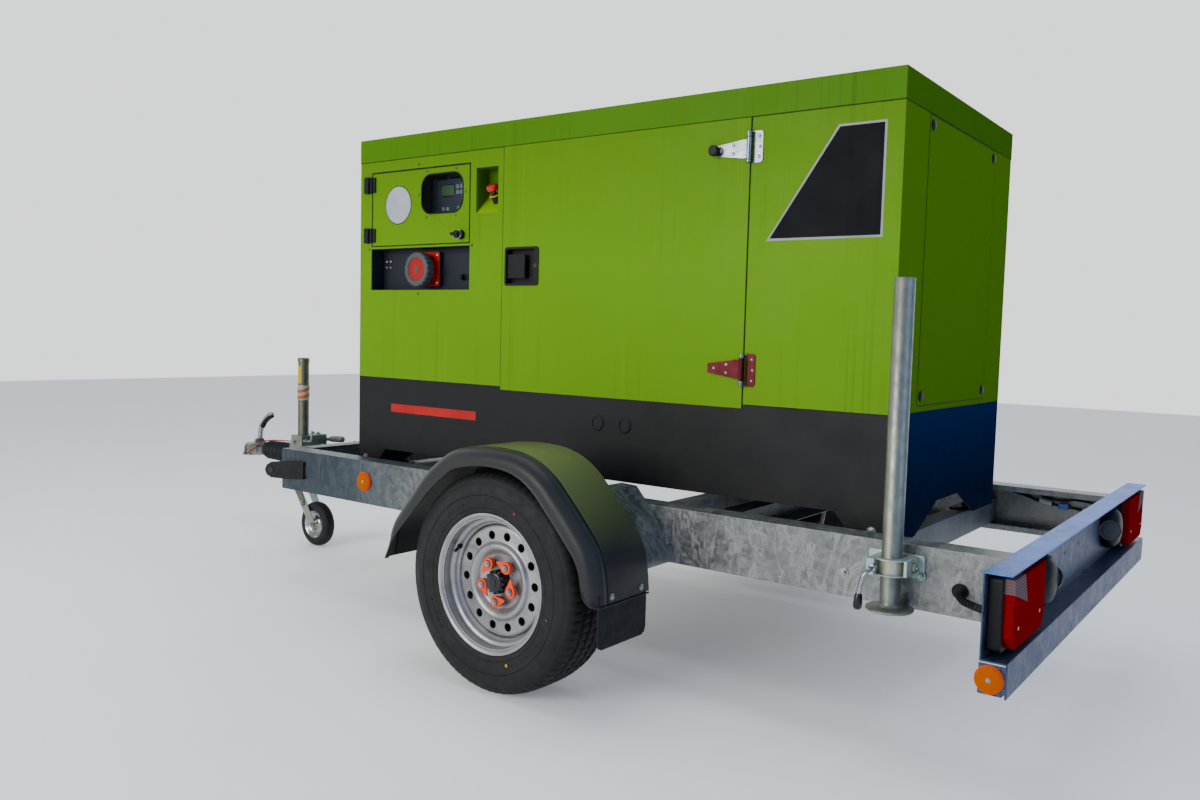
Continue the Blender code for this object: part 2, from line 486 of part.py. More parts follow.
LP = (-0.4090, -0.2650, 1.1500, 1.2710)      # paddle-latch pocket
for s, side in ((-1, "left"), (1, "right")):
    def Y(a, b):
        return sorted((s * a, s * b))
    y0, y1 = Y(DOOR_YO, DOOR_YO - SHEET)
    dr = box("service_door_" + side, LIME, DOOR_X0, DOOR_X1, y0, y1, DOOR_Z0, DOOR_Z1)
    y0, y1 = Y(DOOR_YO - 0.0015, 0.4540)
    union(dr, box_bm(LP[0], LP[1], y0, y1, LP[2], LP[3]))
    y0, y1 = Y(DOOR_YO + 0.02, 0.4565)
    cut(dr, box_bm(LP[0] + 0.003, LP[1] - 0.003, y0, y1, LP[2] + 0.003, LP[3] - 0.003))
    # paddle, pivoting on its front edge inside the pocket
    y0, y1 = Y(0.4770, 0.4700)
    pd = box("latch_paddle_" + side, BLK, -0.3960, -0.3250, y0, y1, 1.1720, 1.2500)
    union(pd, cyl_bm((-0.3990, s * 0.4735, 1.1720), (-0.3990, s * 0.4735, 1.2500), 0.0035, 12))
    # strap hinges: tapered strap and barrel move with the door
    if s < 0:
        for nm, zc, h, hb, kz in (("upper", 1.5165, 0.0255, 0.013, 0.0300), ("lower", 0.9110, 0.0270, 0.013, 0.0310)):
            st = [(0.3870, zc - hb), (0.3870, zc + hb), (0.4060, zc + hb + 0.003), (0.4780, zc + h), (0.4950, zc + h), (0.4950, zc - h), (0.4780, zc - h), (0.4060, zc - hb - 0.003)]
            y0, y1 = Y(0.4830, DOOR_YO + G)
            hg = prism(nm + "_hinge_strap", CHRM, st, "Y", y0, y1)
            union(hg, cyl_bm((HINGE_X, -HINGE_Y, zc - kz), (HINGE_X, -HINGE_Y, zc + kz), 0.0075, 16))

# ================================================================== control end
cd = box("control_door", LIME, CD[0] + 0.0020, CD[1] - 0.0020, -BODY_Y, -BODY_Y + SHEET, CD[2] + 0.0020, CD[3] - 0.0020)
cut(cd, prism_bm(rbox(-0.7190, 1.4695, 0.1020, 0.0670, 0.045, 5), "Y", -0.6, -0.4))
kb = lathe("door_lock_knob", CHRM, [(-0.4760 + 0.0005, 0.0), (-0.4760 + 0.0005, 0.010), (-0.4900, 0.010), (-0.4905, 0.0155), (-0.5040, 0.0165), (-0.5060, 0.0150), (-0.5060, 0.0)], (-0.6210, 0, 1.3230), "Y", 16)
box("control_module", BLK, -1.0700, -0.6000, -0.4120, -0.3300, 1.3100, 1.5500)

sr = box("socket_recess", CHAR, SR[0] - 0.003, SR[1] + 0.003, -BODY_Y + SHEET + G, -0.4120, SR[2] - 0.003, SR[3] + 0.003)
cut(sr, box_bm(SR[0], SR[1], -0.6, -0.4150, SR[2], SR[3]))
SKX, SKZ = -0.8360, 1.2120
union(sr, box_bm(SKX - 0.063, SKX + 0.063, -0.4320, -0.4140, SKZ - 0.060, SKZ + 0.060))
union(sr, cyl_bm((SKX, -0.4200, SKZ - 0.004), (SKX, -0.4545, SKZ - 0.004), 0.046, 24))
lathe("socket_cap", RED, [(-0.4552, 0.0), (-0.4552, 0.0615), (-0.4850, 0.0615), (-0.4885, 0.0580), (-0.4885, 0.0)], (SKX, 0, SKZ - 0.004), "Y", 28)

# mushroom stop button, tilted, standing over the sloping floor
SB = Vector((-0.4945, -0.4470, 1.4580))
SN = Vector((0, -0.50, 0.866)).normalized()
sb = finish(cyl_bm(SB - SN * 0.008, SB + SN * 0.020, 0.0090, 16), "stop_button", RED, True)
union(sb, cyl_bm(SB + SN * 0.016, SB + SN * 0.026, 0.0190, 24))

# ================================================================== generating set inside
eng = box("engine", CAST, -0.380, 0.380, -0.160, 0.160, 0.820, 1.200)
union(eng, box_bm(-0.330, 0.330, -0.090, 0.090, 1.190, 1.340))
union(eng, box_bm(-0.250, 0.250, -0.120, 0.120, 0.715, 0.830))
lathe("alternator", ALU, [(-0.3803, 0.0), (-0.3803, 0.215), (-0.470, 0.215), (-0.500, 0.190), (-0.880, 0.190), (-0.910, 0.160), (-0.910, 0.0)], (0, 0, 1.000), "X", 32)
fan_pts = []
for k in range(8):
    a = 2 * math.pi * k / 8
    for r, da in ((0.060, -0.34), (0.190, -0.16), (0.200, 0.10), (0.060, 0.10)):
        fan_pts.append((r * math.cos(a + da), 1.000 + r * math.sin(a + da)))
fan = prism("cooling_fan", BLK, fan_pts, "X", 0.4300, 0.4500)
union(fan, cyl_bm((0.3803, 0, 1.000), (0.4600, 0, 1.000), 0.045, 20))
rad = box("radiator", ALU, 0.5200, 0.5600, -0.330, 0.330, 0.7000, 1.4600)
lathe("silencer", CAST, [(-0.250, 0.060), (-0.250, 0.075), (0.380, 0.075), (0.380, 0.0), (0.374, 0.0), (0.374, 0.070), (-0.244, 0.070), (-0.244, 0.060)], (0, 0.300, 1.480), "X", 24)
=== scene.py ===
import bpy
import bmesh
import math
import random
from mathutils import Vector, Matrix


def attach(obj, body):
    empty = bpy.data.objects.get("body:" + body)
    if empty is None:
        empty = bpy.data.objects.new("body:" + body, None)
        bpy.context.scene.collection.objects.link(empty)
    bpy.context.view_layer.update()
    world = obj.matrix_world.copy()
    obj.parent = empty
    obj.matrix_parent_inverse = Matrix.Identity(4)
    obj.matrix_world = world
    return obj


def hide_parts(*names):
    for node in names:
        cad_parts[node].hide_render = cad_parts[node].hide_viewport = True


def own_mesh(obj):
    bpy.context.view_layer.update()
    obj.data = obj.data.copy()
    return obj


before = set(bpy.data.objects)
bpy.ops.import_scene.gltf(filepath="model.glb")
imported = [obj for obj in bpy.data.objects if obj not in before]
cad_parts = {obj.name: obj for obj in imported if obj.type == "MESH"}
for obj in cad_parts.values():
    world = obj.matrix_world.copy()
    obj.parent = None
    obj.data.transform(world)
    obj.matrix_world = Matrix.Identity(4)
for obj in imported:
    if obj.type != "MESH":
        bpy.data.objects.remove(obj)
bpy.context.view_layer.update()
OX = 0.645
SC = bpy.context.scene
HUB_Z = 0.310 * math.cos(math.pi / 36)
JK_Z = 0.100 * math.cos(math.pi / 26)
RND = random.Random(7)


# ===================================================================== node materials
class Mat:
    def __init__(self, name):
        self.m = bpy.data.materials.new(name)
        self.m.use_nodes = True
        self.t = self.m.node_tree
        self.b = self.t.nodes["Principled BSDF"]
        self.pos = self.n("ShaderNodeTexCoord").outputs["Object"]

    def n(self, kind, ins=None, **props):
        nd = self.t.nodes.new(kind)
        for k, v in props.items():
            setattr(nd, k, v)
        for k, v in (ins or {}).items():
            self.put(nd.inputs[k], v)
        return nd

    def put(self, sock, v):
        if isinstance(v, bpy.types.NodeSocket):
            self.t.links.new(v, sock)
        elif isinstance(v, (tuple, list)) and len(v) == 3 and sock.type == "RGBA":
            sock.default_value = (v[0], v[1], v[2], 1.0)
        else:
            sock.default_value = v

    def map(self, s):
        return self.n("ShaderNodeMapping", {"Vector": self.pos, "Scale": s}).outputs["Vector"]

    def noise(self, scale, detail=3.0, rough=0.5, dist=0.0, vec=None):
        return self.n("ShaderNodeTexNoise", {"Vector": vec or self.pos, "Scale": scale, "Detail": detail, "Roughness": rough, "Distortion": dist}).outputs["Fac"]

    def ramp(self, fac, stops):
        r = self.n("ShaderNodeValToRGB", {"Fac": fac})
        e = r.color_ramp.elements
        while len(e) < len(stops):
            e.new(0.5)
        for el, (p, c) in zip(e, stops):
            el.position = p
            el.color = (c, c, c, 1.0) if not isinstance(c, (tuple, list)) else (c[0], c[1], c[2], 1.0)
        return r.outputs["Color"]

    def math(self, op, a, b=0.0, clamp=False):
        return self.n("ShaderNodeMath", {0: a, 1: b}, operation=op, use_clamp=clamp).outputs[0]

    def mix(self, fac, a, b, blend="MIX"):
        nd = self.n("ShaderNodeMix", data_type="RGBA", blend_type=blend)
        for i, v in ((0, fac), (6, a), (7, b)):
            self.put(nd.inputs[i], v)
        return nd.outputs[2]

    def range(self, v, a, b, c, d):
        return self.n("ShaderNodeMapRange", {0: v, 1: a, 2: b, 3: c, 4: d}).outputs[0]

    def xyz(self):
        return self.n("ShaderNodeSeparateXYZ", {0: self.pos}).outputs

    def bump(self, height, strength, dist, normal=None):
        ins = {"Height": height, "Strength": strength, "Distance": dist}
        if normal is not None:
            ins["Normal"] = normal
        return self.n("ShaderNodeBump", ins).outputs["Normal"]

    def set(self, **k):
        names = {"col": "Base Color", "rough": "Roughness", "metal": "Metallic", "nrm": "Normal", "coat": "Coat Weight", "coat_rough": "Coat Roughness",
                 "trans": "Transmission Weight", "ior": "IOR", "spec": "Specular IOR Level", "emit": "Emission Color", "emit_s": "Emission Strength", "alpha": "Alpha", "sheen": "Sheen Weight"}
        for a, v in k.items():
            self.put(self.b.inputs[names[a]], v)
        return self.m


def paint(name, col, rough=0.42, dark=0.86, dust=0.0, grain=0.05, streaks=0.10, zfoot=0.8, orange=700.0, spec=0.3, top=None, end=None, end_face_shade=None, pocket=None):
    """Powder coat: colour drift, faint rain streaks, fine orange peel, some road dust low down.
    top paints shade that darkens the coat towards the eaves; the end options paint shade, and for the base a blue sky
    reflection, on the face that looks backwards; pocket paints shade into the recesses behind the panel face, with a
    painted patch of light below a slanted shadow edge."""
    M = Mat(name)
    x, y, z = M.xyz()
    big = M.range(M.noise(1.3, 2.0), 0.3, 0.7, 0.0, 1.0)
    c0 = M.mix(big, tuple(v * dark for v in col), col)
    if top is not None:
        # painted shade: the coat darkens towards the eaves
        f = M.range(z, 1.22, 1.66, 0.0, 1.0)
        c0 = M.mix(f, c0, tuple(v * top for v in col))
    st = M.ramp(M.noise(1.0, 3.0, 0.6, 0.0, M.map((62.0, 62.0, 0.40))), [(0.58, 0.0), (0.66, 1.0)])
    fade = M.ramp(M.noise(2.3, 3.0), [(0.42, 0.0), (0.60, 1.0)])
    c1 = M.mix(M.math("MULTIPLY", M.math("MULTIPLY", st, fade), streaks), c0, tuple(v * 0.50 for v in col))
    st2 = M.ramp(M.noise(1.0, 2.0, 0.5, 0.0, M.map((95.0, 95.0, 0.7))), [(0.64, 0.0), (0.72, 1.0)])
    c1 = M.mix(M.math("MULTIPLY", M.math("MULTIPLY", st2, fade), streaks * 0.8), c1, tuple(min(1, v * 1.35 + 0.006) for v in col))
    if end is not None:
        # painted shade on the face that looks backwards; for the charcoal base it is a blue painted sky reflection,
        # fading out lower down
        f = M.range(x, OX + 0.9300, OX + 0.9325, 0.0, 1.0)
        g = M.range(z, 0.55, 0.86, 0.35, 1.0)
        c1 = M.mix(M.math("MULTIPLY", f, g), c1, end)
    if end_face_shade is not None:
        # painted shade: a darker copy of the coat on the rear face, with its specular turned down
        f = M.range(x, OX + 0.9322, OX + 0.9332, 0.0, 1.0)
        c1 = M.mix(f, c1, end_face_shade)
        spec = M.math("MULTIPLY", M.range(f, 0.0, 1.0, 1.0, 0.0), spec)
    elif end is not None:
        f = M.range(x, OX + 0.9300, OX + 0.9325, 0.0, 1.0)
        spec = M.math("MULTIPLY", M.range(f, 0.0, 1.0, 1.0, 0.0), spec)
    if pocket is not None:
        # painted shade in the recess behind the panel face, darker the deeper it sits
        f = M.range(M.math("ABSOLUTE", y), 0.4742, 0.4600, 0.25, 1.0)
        g = M.math("LESS_THAN", M.math("ABSOLUTE", y), 0.4743)
        c1 = M.mix(M.math("MULTIPLY", f, g), c1, pocket)
        # painted light: the lower part of the recess, below a slanted painted shadow edge, is brightened
        d = M.math("SUBTRACT", z, M.math("MULTIPLY", y, 1.0241))
        lo = M.math("MULTIPLY", M.math("LESS_THAN", d, 1.8785), g)
        c1 = M.mix(lo, c1, (0.185, 0.36, 0.0))
    if dust > 0:
        f = M.range(z, zfoot, zfoot - 0.5, 0.0, 1.0)
        blot = M.range(M.noise(14.0, 6.0, 0.7), 0.35, 0.75, 0.0, 1.0)
        f = M.math("MULTIPLY", M.math("MULTIPLY", f, blot), dust, True)
        c1 = M.mix(f, c1, (0.13, 0.12, 0.10))
    speck = M.ramp(M.noise(420.0, 2.0), [(0.60, 0.0), (0.72, 1.0)])
    c1 = M.mix(M.math("MULTIPLY", speck, 0.10), c1, tuple(min(1, v * 1.5 + 0.004) for v in col))
    r = M.range(M.noise(9.0, 4.0), 0.3, 0.7, rough - 0.06, rough + 0.07)
    nb = M.bump(M.noise(orange, 2.0), grain, 0.0006)
    nb = M.bump(M.noise(3.0, 2.0), 0.06, 0.01, nb)
    return M.set(col=c1, rough=r, nrm=nb, spec=spec)


def galvanised(name, tone=(0.30, 0.315, 0.315), rough=0.42, drips=0.5, spangle=95.0, metal=0.72, nose_sky_shade=0.0, lid_sky_reflection=0.0):
    """Hot-dip zinc: spangle cells, soft clouding, pale run marks, scratches and dirt. One option paints a blue-grey
    shade, tinted by the sky, onto the front of the frame; another paints a bright blue sky reflection onto the top
    face.
    """
    M = Mat(name)
    vo = M.n("ShaderNodeTexVoronoi", {"Vector": M.pos, "Scale": spangle, "Randomness": 1.0})
    cell = M.n("ShaderNodeSeparateColor", {0: vo.outputs["Color"]}).outputs[0]
    vo2 = M.n("ShaderNodeTexVoronoi", {"Vector": M.pos, "Scale": spangle * 0.33, "Randomness": 1.0})
    cell2 = M.n("ShaderNodeSeparateColor", {0: vo2.outputs["Color"]}).outputs[1]
    k = M.math("ADD", M.math("MULTIPLY", cell, 0.55), M.math("MULTIPLY", cell2, 0.45))
    c = M.mix(k, tuple(v * 0.62 for v in tone), tuple(min(1, v * 1.30) for v in tone))
    cloud = M.ramp(M.noise(5.0, 6.0, 0.65, 0.4, M.map((1.0, 1.0, 0.5))), [(0.38, 0.0), (0.62, 1.0)])
    c = M.mix(M.math("MULTIPLY", cloud, 0.50), c, tuple(v * 0.50 for v in tone))
    wob = M.noise(11.0, 5.0, 0.62, 1.4, M.map((1.0, 1.0, 0.30)))
    line = M.ramp(wob, [(0.470, 0.0), (0.492, 1.0), (0.502, 1.0), (0.525, 0.0)])
    c = M.mix(M.math("MULTIPLY", line, drips), c, tuple(min(1, v * 1.75) for v in tone))
    scr = M.ramp(M.noise(1.0, 3.0, 0.6, 0.8, M.map((7.0, 7.0, 260.0))), [(0.655, 0.0), (0.69, 1.0)])
    c = M.mix(M.math("MULTIPLY", scr, 0.30), c, tuple(min(1, v * 1.9) for v in tone))
    dirt = M.ramp(M.noise(24.0, 6.0, 0.72), [(0.54, 0.0), (0.72, 1.0)])
    c = M.mix(M.math("MULTIPLY", dirt, 0.45), c, (0.055, 0.055, 0.052))
    # painted shade with a sky-blue tint towards the front of the frame
    if nose_sky_shade > 0:
        f = M.math("MULTIPLY", M.range(M.xyz()[0], OX - 0.45, OX - 1.05, 0.0, 1.0), nose_sky_shade)
        c = M.mix(f, c, (0.19, 0.28, 0.35), "MULTIPLY")
    # painted reflection: the top face turns bright sky blue
    if lid_sky_reflection > 0:
        f = M.range(M.xyz()[2], 0.5325, 0.5335, 0.0, 1.0)
        c = M.mix(f, c, M.mix(1.0, c, (lid_sky_reflection * 0.46, lid_sky_reflection * 0.88, lid_sky_reflection * 1.38), "MULTIPLY"))
    r = M.math("ADD", M.range(k, 0.0, 1.0, rough - 0.10, rough + 0.10), M.math("MULTIPLY", line, 0.12))
    nb = M.bump(M.noise(60.0, 4.0), 0.10, 0.0008)
    nb = M.bump(line, 0.25, 0.0010, nb)
    return M.set(col=c, rough=r, metal=metal, nrm=nb)


def zinc(name, a=(0.62, 0.66, 0.63), b=(0.66, 0.62, 0.48), c=(0.50, 0.60, 0.60), rough=0.30, metal=0.92):
    """Bright zinc with a thin yellow-green-blue passivate film and handling scuffs."""
    M = Mat(name)
    f = M.ramp(M.noise(11.0, 3.0, 0.5, 0.8), [(0.35, 0.0), (0.65, 1.0)])
    g = M.ramp(M.noise(26.0, 3.0, 0.5, 0.4), [(0.40, 0.0), (0.62, 1.0)])
    col = M.mix(g, M.mix(f, a, b), c)
    scuff = M.ramp(M.noise(1.0, 4.0, 0.7, 0.0, M.map((40.0, 40.0, 320.0))), [(0.55, 0.0), (0.72, 1.0)])
    col = M.mix(M.math("MULTIPLY", scuff, 0.35), col, (0.30, 0.31, 0.29))
    grime = M.ramp(M.noise(8.0, 6.0, 0.7), [(0.52, 0.0), (0.75, 1.0)])
    col = M.mix(M.math("MULTIPLY", grime, 0.45), col, (0.16, 0.16, 0.14))
    r = M.range(M.noise(33.0, 4.0), 0.3, 0.7, rough - 0.07, rough + 0.12)
    return M.set(col=col, rough=r, metal=metal, nrm=M.bump(M.noise(160.0, 3.0), 0.06, 0.0006))


def plastic(name, col, rough=0.48, grain=0.12, scale=900.0, wear=0.12, spec=0.5, coat=0.0):
    M = Mat(name)
    v = M.range(M.noise(6.0, 4.0), 0.3, 0.7, 0.0, 1.0)
    c = M.mix(v, tuple(x * 0.82 for x in col), tuple(min(1, x * 1.12 + 0.002) for x in col))
    w = M.ramp(M.noise(30.0, 6.0, 0.75), [(0.56, 0.0), (0.76, 1.0)])
    c = M.mix(M.math("MULTIPLY", w, wear), c, tuple(min(1, x * 0.7 + 0.02) for x in col))
    r = M.range(M.noise(17.0, 4.0), 0.3, 0.7, rough - 0.06, rough + 0.08)
    return M.set(col=c, rough=r, nrm=M.bump(M.noise(scale, 2.0), grain, 0.0006), spec=spec, coat=coat)


def rubber(name, col=(0.022, 0.022, 0.023), rough=0.68, dust=0.25):
    M = Mat(name)
    d = M.ramp(M.noise(12.0, 6.0, 0.7), [(0.42, 0.0), (0.72, 1.0)])
    c = M.mix(M.math("MULTIPLY", d, dust), col, (0.075, 0.072, 0.066))
    r = M.range(M.noise(40.0, 4.0), 0.3, 0.7, rough - 0.08, rough + 0.10)
    nb = M.bump(M.noise(260.0, 4.0), 0.12, 0.0007)
    return M.set(col=c, rough=r, nrm=nb, spec=0.22)


def silver(name):
    """Wheel lacquer with metal flake and brake dust in the low places."""
    M = Mat(name)
    fl = M.n("ShaderNodeTexVoronoi", {"Vector": M.pos, "Scale": 1600.0})
    f = M.n("ShaderNodeSeparateColor", {0: fl.outputs["Color"]}).outputs[0]
    c = M.mix(f, (0.235, 0.23, 0.23), (0.40, 0.395, 0.39))
    d = M.ramp(M.noise(16.0, 6.0, 0.7), [(0.46, 0.0), (0.74, 1.0)])
    c = M.mix(M.math("MULTIPLY", d, 0.45), c, (0.075, 0.068, 0.060))
    r = M.range(M.noise(24.0, 4.0), 0.3, 0.7, 0.30, 0.46)
    return M.set(col=c, rough=r, metal=0.65, nrm=M.bump(M.noise(300.0, 2.0), 0.05, 0.0005), coat=0.25, coat_rough=0.15)


def steel(name, col=(0.72, 0.72, 0.73), rough=0.16, brush=0.4, metal=1.0):
    M = Mat(name)
    s = M.noise(1.0, 4.0, 0.6, 0.0, M.map((30.0, 30.0, 900.0)))
    c = M.mix(M.range(M.noise(20.0, 5.0, 0.6), 0.35, 0.7, 0.0, 1.0), tuple(x * 0.55 for x in col), col)
    r = M.range(s, 0.3, 0.7, rough * 0.7, rough * 1.8 + 0.05)
    return M.set(col=c, rough=r, metal=metal, nrm=M.bump(s, brush * 0.1, 0.0004))


def lens(name, col, rough=0.10, pitch=0.006, trans=0.0, glow=0.0):
    """Moulded lamp lens: glossy skin over a grid of prisms, with painted shade darkening the colour in the prism
    valleys.
    """
    M = Mat(name)
    p = M.xyz()
    k = 2 * math.pi / pitch
    sy = M.math("SINE", M.math("MULTIPLY", p[1], k))
    sz = M.math("SINE", M.math("MULTIPLY", p[2], k))
    sx = M.math("SINE", M.math("MULTIPLY", p[0], k))
    h = M.math("MULTIPLY", M.math("ADD", sy, sx), sz)
    # painted shade: colour darkens in the prism valleys, following the bump height
    c = M.mix(M.range(h, -1.2, 1.2, 0.0, 1.0), tuple(x * 0.35 for x in col), col)
    c = M.mix(M.math("MULTIPLY", M.ramp(M.noise(20.0, 5.0, 0.7), [(0.5, 0.0), (0.75, 1.0)]), 0.25), c, tuple(x * 0.6 + 0.004 for x in col))
    return M.set(col=c, rough=rough, nrm=M.bump(h, 0.35, 0.0012), spec=0.0, coat=0.0, coat_rough=0.08, trans=trans, emit=col, emit_s=glow)


# painted shade towards the eaves and on the rear face
LIME = paint("lime_powder_coat", (0.112, 0.268, 0.0), 0.44, 0.93, dust=0.05, streaks=0.30, zfoot=0.95, spec=0.07, top=0.68, end_face_shade=(0.066, 0.160, 0.0))
# painted shade towards the eaves and in the panel's recesses, with a painted patch of light low in the recess
LIME_POCKET_PAINTED_LIGHT = paint("lime_powder_coat_pocket_painted_light", (0.112, 0.268, 0.0), 0.44, 0.93, dust=0.05, streaks=0.30, zfoot=0.95, spec=0.07, top=0.68, pocket=(0.045, 0.120, 0.0))
# darker copy of the lime coat for the roof: painted shade, with a darker rear face
LIME_ROOF_SHADE = paint("lime_roof_coat_painted_shade", (0.058, 0.168, 0.0), 0.44, 0.90, streaks=0.40, spec=0.07, end_face_shade=(0.045, 0.122, 0.004))
# darker copy of the lime coat for the inside of the control opening: painted shade
LIME_IN_SHADE = paint("lime_inside_painted_shade", (0.08, 0.18, 0.0), 0.50, 0.85, streaks=0.05, spec=0.10)
# the base's rear face gets a blue painted sky reflection over painted shade
CHAR = paint("charcoal_texture_coat", (0.0062, 0.0062, 0.0070), 0.48, 0.80, dust=0.10, grain=0.30, streaks=0.30, zfoot=0.80, orange=420.0, spec=0.20, end=(0.0030, 0.0190, 0.070))
DARKIN = paint("dark_recess_coat", (0.010, 0.013, 0.022), 0.50, 0.85, streaks=0.02, spec=0.25)
PANEL = paint("controller_face_film", (0.022, 0.032, 0.050), 0.40, 0.85, streaks=0.02, spec=0.3)
# frame rails: painted blue-grey shade towards the front
GALV = galvanised("galvanised_frame", tone=(0.195, 0.203, 0.200), nose_sky_shade=0.95)
# dark blue copy of the zinc for the rear light bar: painted shade with a painted sky reflection, brighter on its top
# face
GALV_BAR_SKY_SHADE = galvanised("galvanised_bar_sky_shade", tone=(0.044, 0.062, 0.118), rough=0.42, drips=0.45, lid_sky_reflection=3.3)
GALV_D = galvanised("galvanised_shade", tone=(0.17, 0.18, 0.182), rough=0.5, drips=0.35)
ZINC = zinc("zinc_passivate", (0.29, 0.33, 0.28), (0.32, 0.29, 0.18), (0.17, 0.26, 0.24), 0.28, 0.90)
ZINC_G = zinc("zinc_grey_tube", (0.250, 0.255, 0.225), (0.225, 0.232, 0.180), (0.175, 0.192, 0.165), 0.40, 0.80)
ZINC_B = zinc("zinc_saddle", (0.46, 0.52, 0.48), (0.44, 0.44, 0.32), (0.32, 0.44, 0.42), 0.34, 0.55)
ZINC_H = zinc("zinc_coupling", (0.20, 0.22, 0.20), (0.24, 0.20, 0.14), (0.10, 0.14, 0.14), 0.22, 0.95)
OLIVE = zinc("olive_pressing", (0.13, 0.13, 0.095), (0.115, 0.11, 0.075), (0.09, 0.095, 0.075), 0.42, 0.72)
CHROME = steel("polished_steel", (0.47, 0.48, 0.49), 0.17)
HINGE = steel("hinge_steel", (0.27, 0.30, 0.33), 0.22)
PINK = steel("hinge_steel_reddish", (0.095, 0.018, 0.022), 0.26)
SCREW = steel("screw_steel", (0.42, 0.43, 0.43), 0.25)
SCREW_D = steel("dark_screw_steel", (0.05, 0.055, 0.03), 0.35, 0.4, 0.5)
TYRE = rubber("tyre_rubber_mat", (0.0085, 0.0085, 0.0092), 0.62, 0.10)
RUB = rubber("moulded_rubber", (0.0070, 0.0070, 0.0078), 0.55, 0.06)
FLAP = rubber("flap_rubber", (0.0065, 0.0072, 0.0095), 0.62, 0.05)
WHEEL = silver("wheel_lacquer")
def guard_plastic(name):
    """Satin black moulding; the crown carries a painted green reflection of the coat above it, with a painted shade
    line along the groove and a painted highlight strip beside it.
    """
    M = Mat(name)
    x, y, z = M.xyz()
    v = M.range(M.noise(6.0, 4.0), 0.3, 0.7, 0.0, 1.0)
    c = M.mix(v, (0.0180, 0.0185, 0.0195), (0.0225, 0.0230, 0.0240))
    # painted reflection: the crown is tinted green as if reflecting the coat above
    f = M.range(M.math("ABSOLUTE", y), 0.9285, 0.9255, 0.0, 1.0)
    g = M.math("MULTIPLY", M.range(z, 0.44, 0.66, 0.0, 1.0), M.range(x, OX - 0.22, OX + 0.10, 0.30, 1.0))
    c = M.mix(M.math("MULTIPLY", f, g), c, (0.150, 0.168, 0.058))
    # painted shade: dark line in the groove
    e = M.math("MULTIPLY", M.range(M.math("ABSOLUTE", y), 0.9268, 0.9282, 0.0, 1.0), M.range(M.math("ABSOLUTE", y), 0.9358, 0.9340, 0.0, 1.0))
    c = M.mix(M.math("MULTIPLY", e, 0.90), c, (0.0025, 0.0027, 0.0034))
    # painted highlight: lighter strip on the outer side of the groove
    h = M.math("MULTIPLY", M.range(M.math("ABSOLUTE", y), 0.9350, 0.9368, 0.0, 1.0), M.range(M.math("ABSOLUTE", y), 0.9480, 0.9400, 0.0, 1.0))
    c = M.mix(M.math("MULTIPLY", h, 0.60), c, (0.046, 0.050, 0.050))
    w = M.ramp(M.noise(30.0, 6.0, 0.75), [(0.56, 0.0), (0.76, 1.0)])
    c = M.mix(M.math("MULTIPLY", w, 0.05), c, (0.035, 0.036, 0.036))
    return M.set(col=c, rough=M.range(M.noise(17.0, 4.0), 0.3, 0.7, 0.36, 0.46), nrm=M.bump(M.noise(500.0, 2.0), 0.10, 0.0006), spec=0.20)


GUARD = guard_plastic("guard_satin_plastic_painted_reflection")
BLK = plastic("black_moulded", (0.0060, 0.0060, 0.0068), 0.44, wear=0.05, spec=0.16)
BLKG = plastic("black_gloss", (0.0045, 0.0045, 0.0055), 0.24, 0.03, 900.0, 0.03, spec=0.4)
GREYP = plastic("grey_cap_plastic", (0.060, 0.064, 0.066), 0.50, spec=0.3)
REDP = plastic("red_socket_plastic", (0.36, 0.0030, 0.0035), 0.36, 0.05, 900.0, 0.04, 0.25)
REDB = plastic("red_button_plastic", (0.42, 0.0030, 0.0030), 0.28, 0.03, 900.0, 0.03, 0.3, 0.2)
YEL = plastic("yellow_collar_plastic", (0.55, 0.27, 0.0), 0.40, spec=0.25)
ORA = plastic("orange_nut_pointer", (0.80, 0.055, 0.003), 0.42, 0.05, spec=0.25)
AMB = lens("amber_reflector", (0.66, 0.125, 0.0), 0.22, 0.0045, 0.0, 0.0)
REDL = lens("red_lamp_lens", (0.30, 0.0010, 0.0030), 0.16, 0.0055, 0.0, 0.0)
CLRL = lens("clear_lamp_lens", (0.20, 0.13, 0.13), 0.14, 0.0065)
SMOKE = lens("plate_lamp_glass", (0.10, 0.11, 0.11), 0.14, 0.004)
WHITE = plastic("blank_white_sticker", (0.36, 0.375, 0.40), 0.45, 0.03, 900.0, 0.20, spec=0.25)
EDGE = plastic("sticker_edge_film", (0.26, 0.28, 0.28), 0.45, 0.03, 900.0, 0.20, spec=0.25)
REDS = plastic("plain_red_tape", (0.42, 0.004, 0.003), 0.45, 0.03, 900.0, 0.06, spec=0.2)
NAVY = paint("dark_sticker_film", (0.0042, 0.0045, 0.0065), 0.50, 0.95, grain=0.02, streaks=0.50, spec=0.06)
CAST = paint("engine_enamel", (0.045, 0.050, 0.055), 0.48, 0.7, dust=0.2, grain=0.5, streaks=0.1, zfoot=1.3, orange=160.0)
DRUM = paint("brake_drum_black", (0.006, 0.006, 0.006), 0.5, 0.7, grain=0.4, streaks=0.1, orange=160.0, spec=0.2)
ALUC = galvanised("cast_aluminium", tone=(0.26, 0.26, 0.26), rough=0.5, drips=0.0, spangle=500.0, metal=0.7)
EXH = steel("aluminised_exhaust", (0.26, 0.24, 0.22), 0.38)
CABLE = plastic("red_cable_sheath", (0.24, 0.003, 0.006), 0.40, 0.05, spec=0.25)
# one dark rubber colour for the window gasket and for the painted shade strips in the panel seams
GASKET_AND_SEAM_SHADE = rubber("gasket_and_seam_shade", (0.0035, 0.0045, 0.0025), 0.75, 0.03)


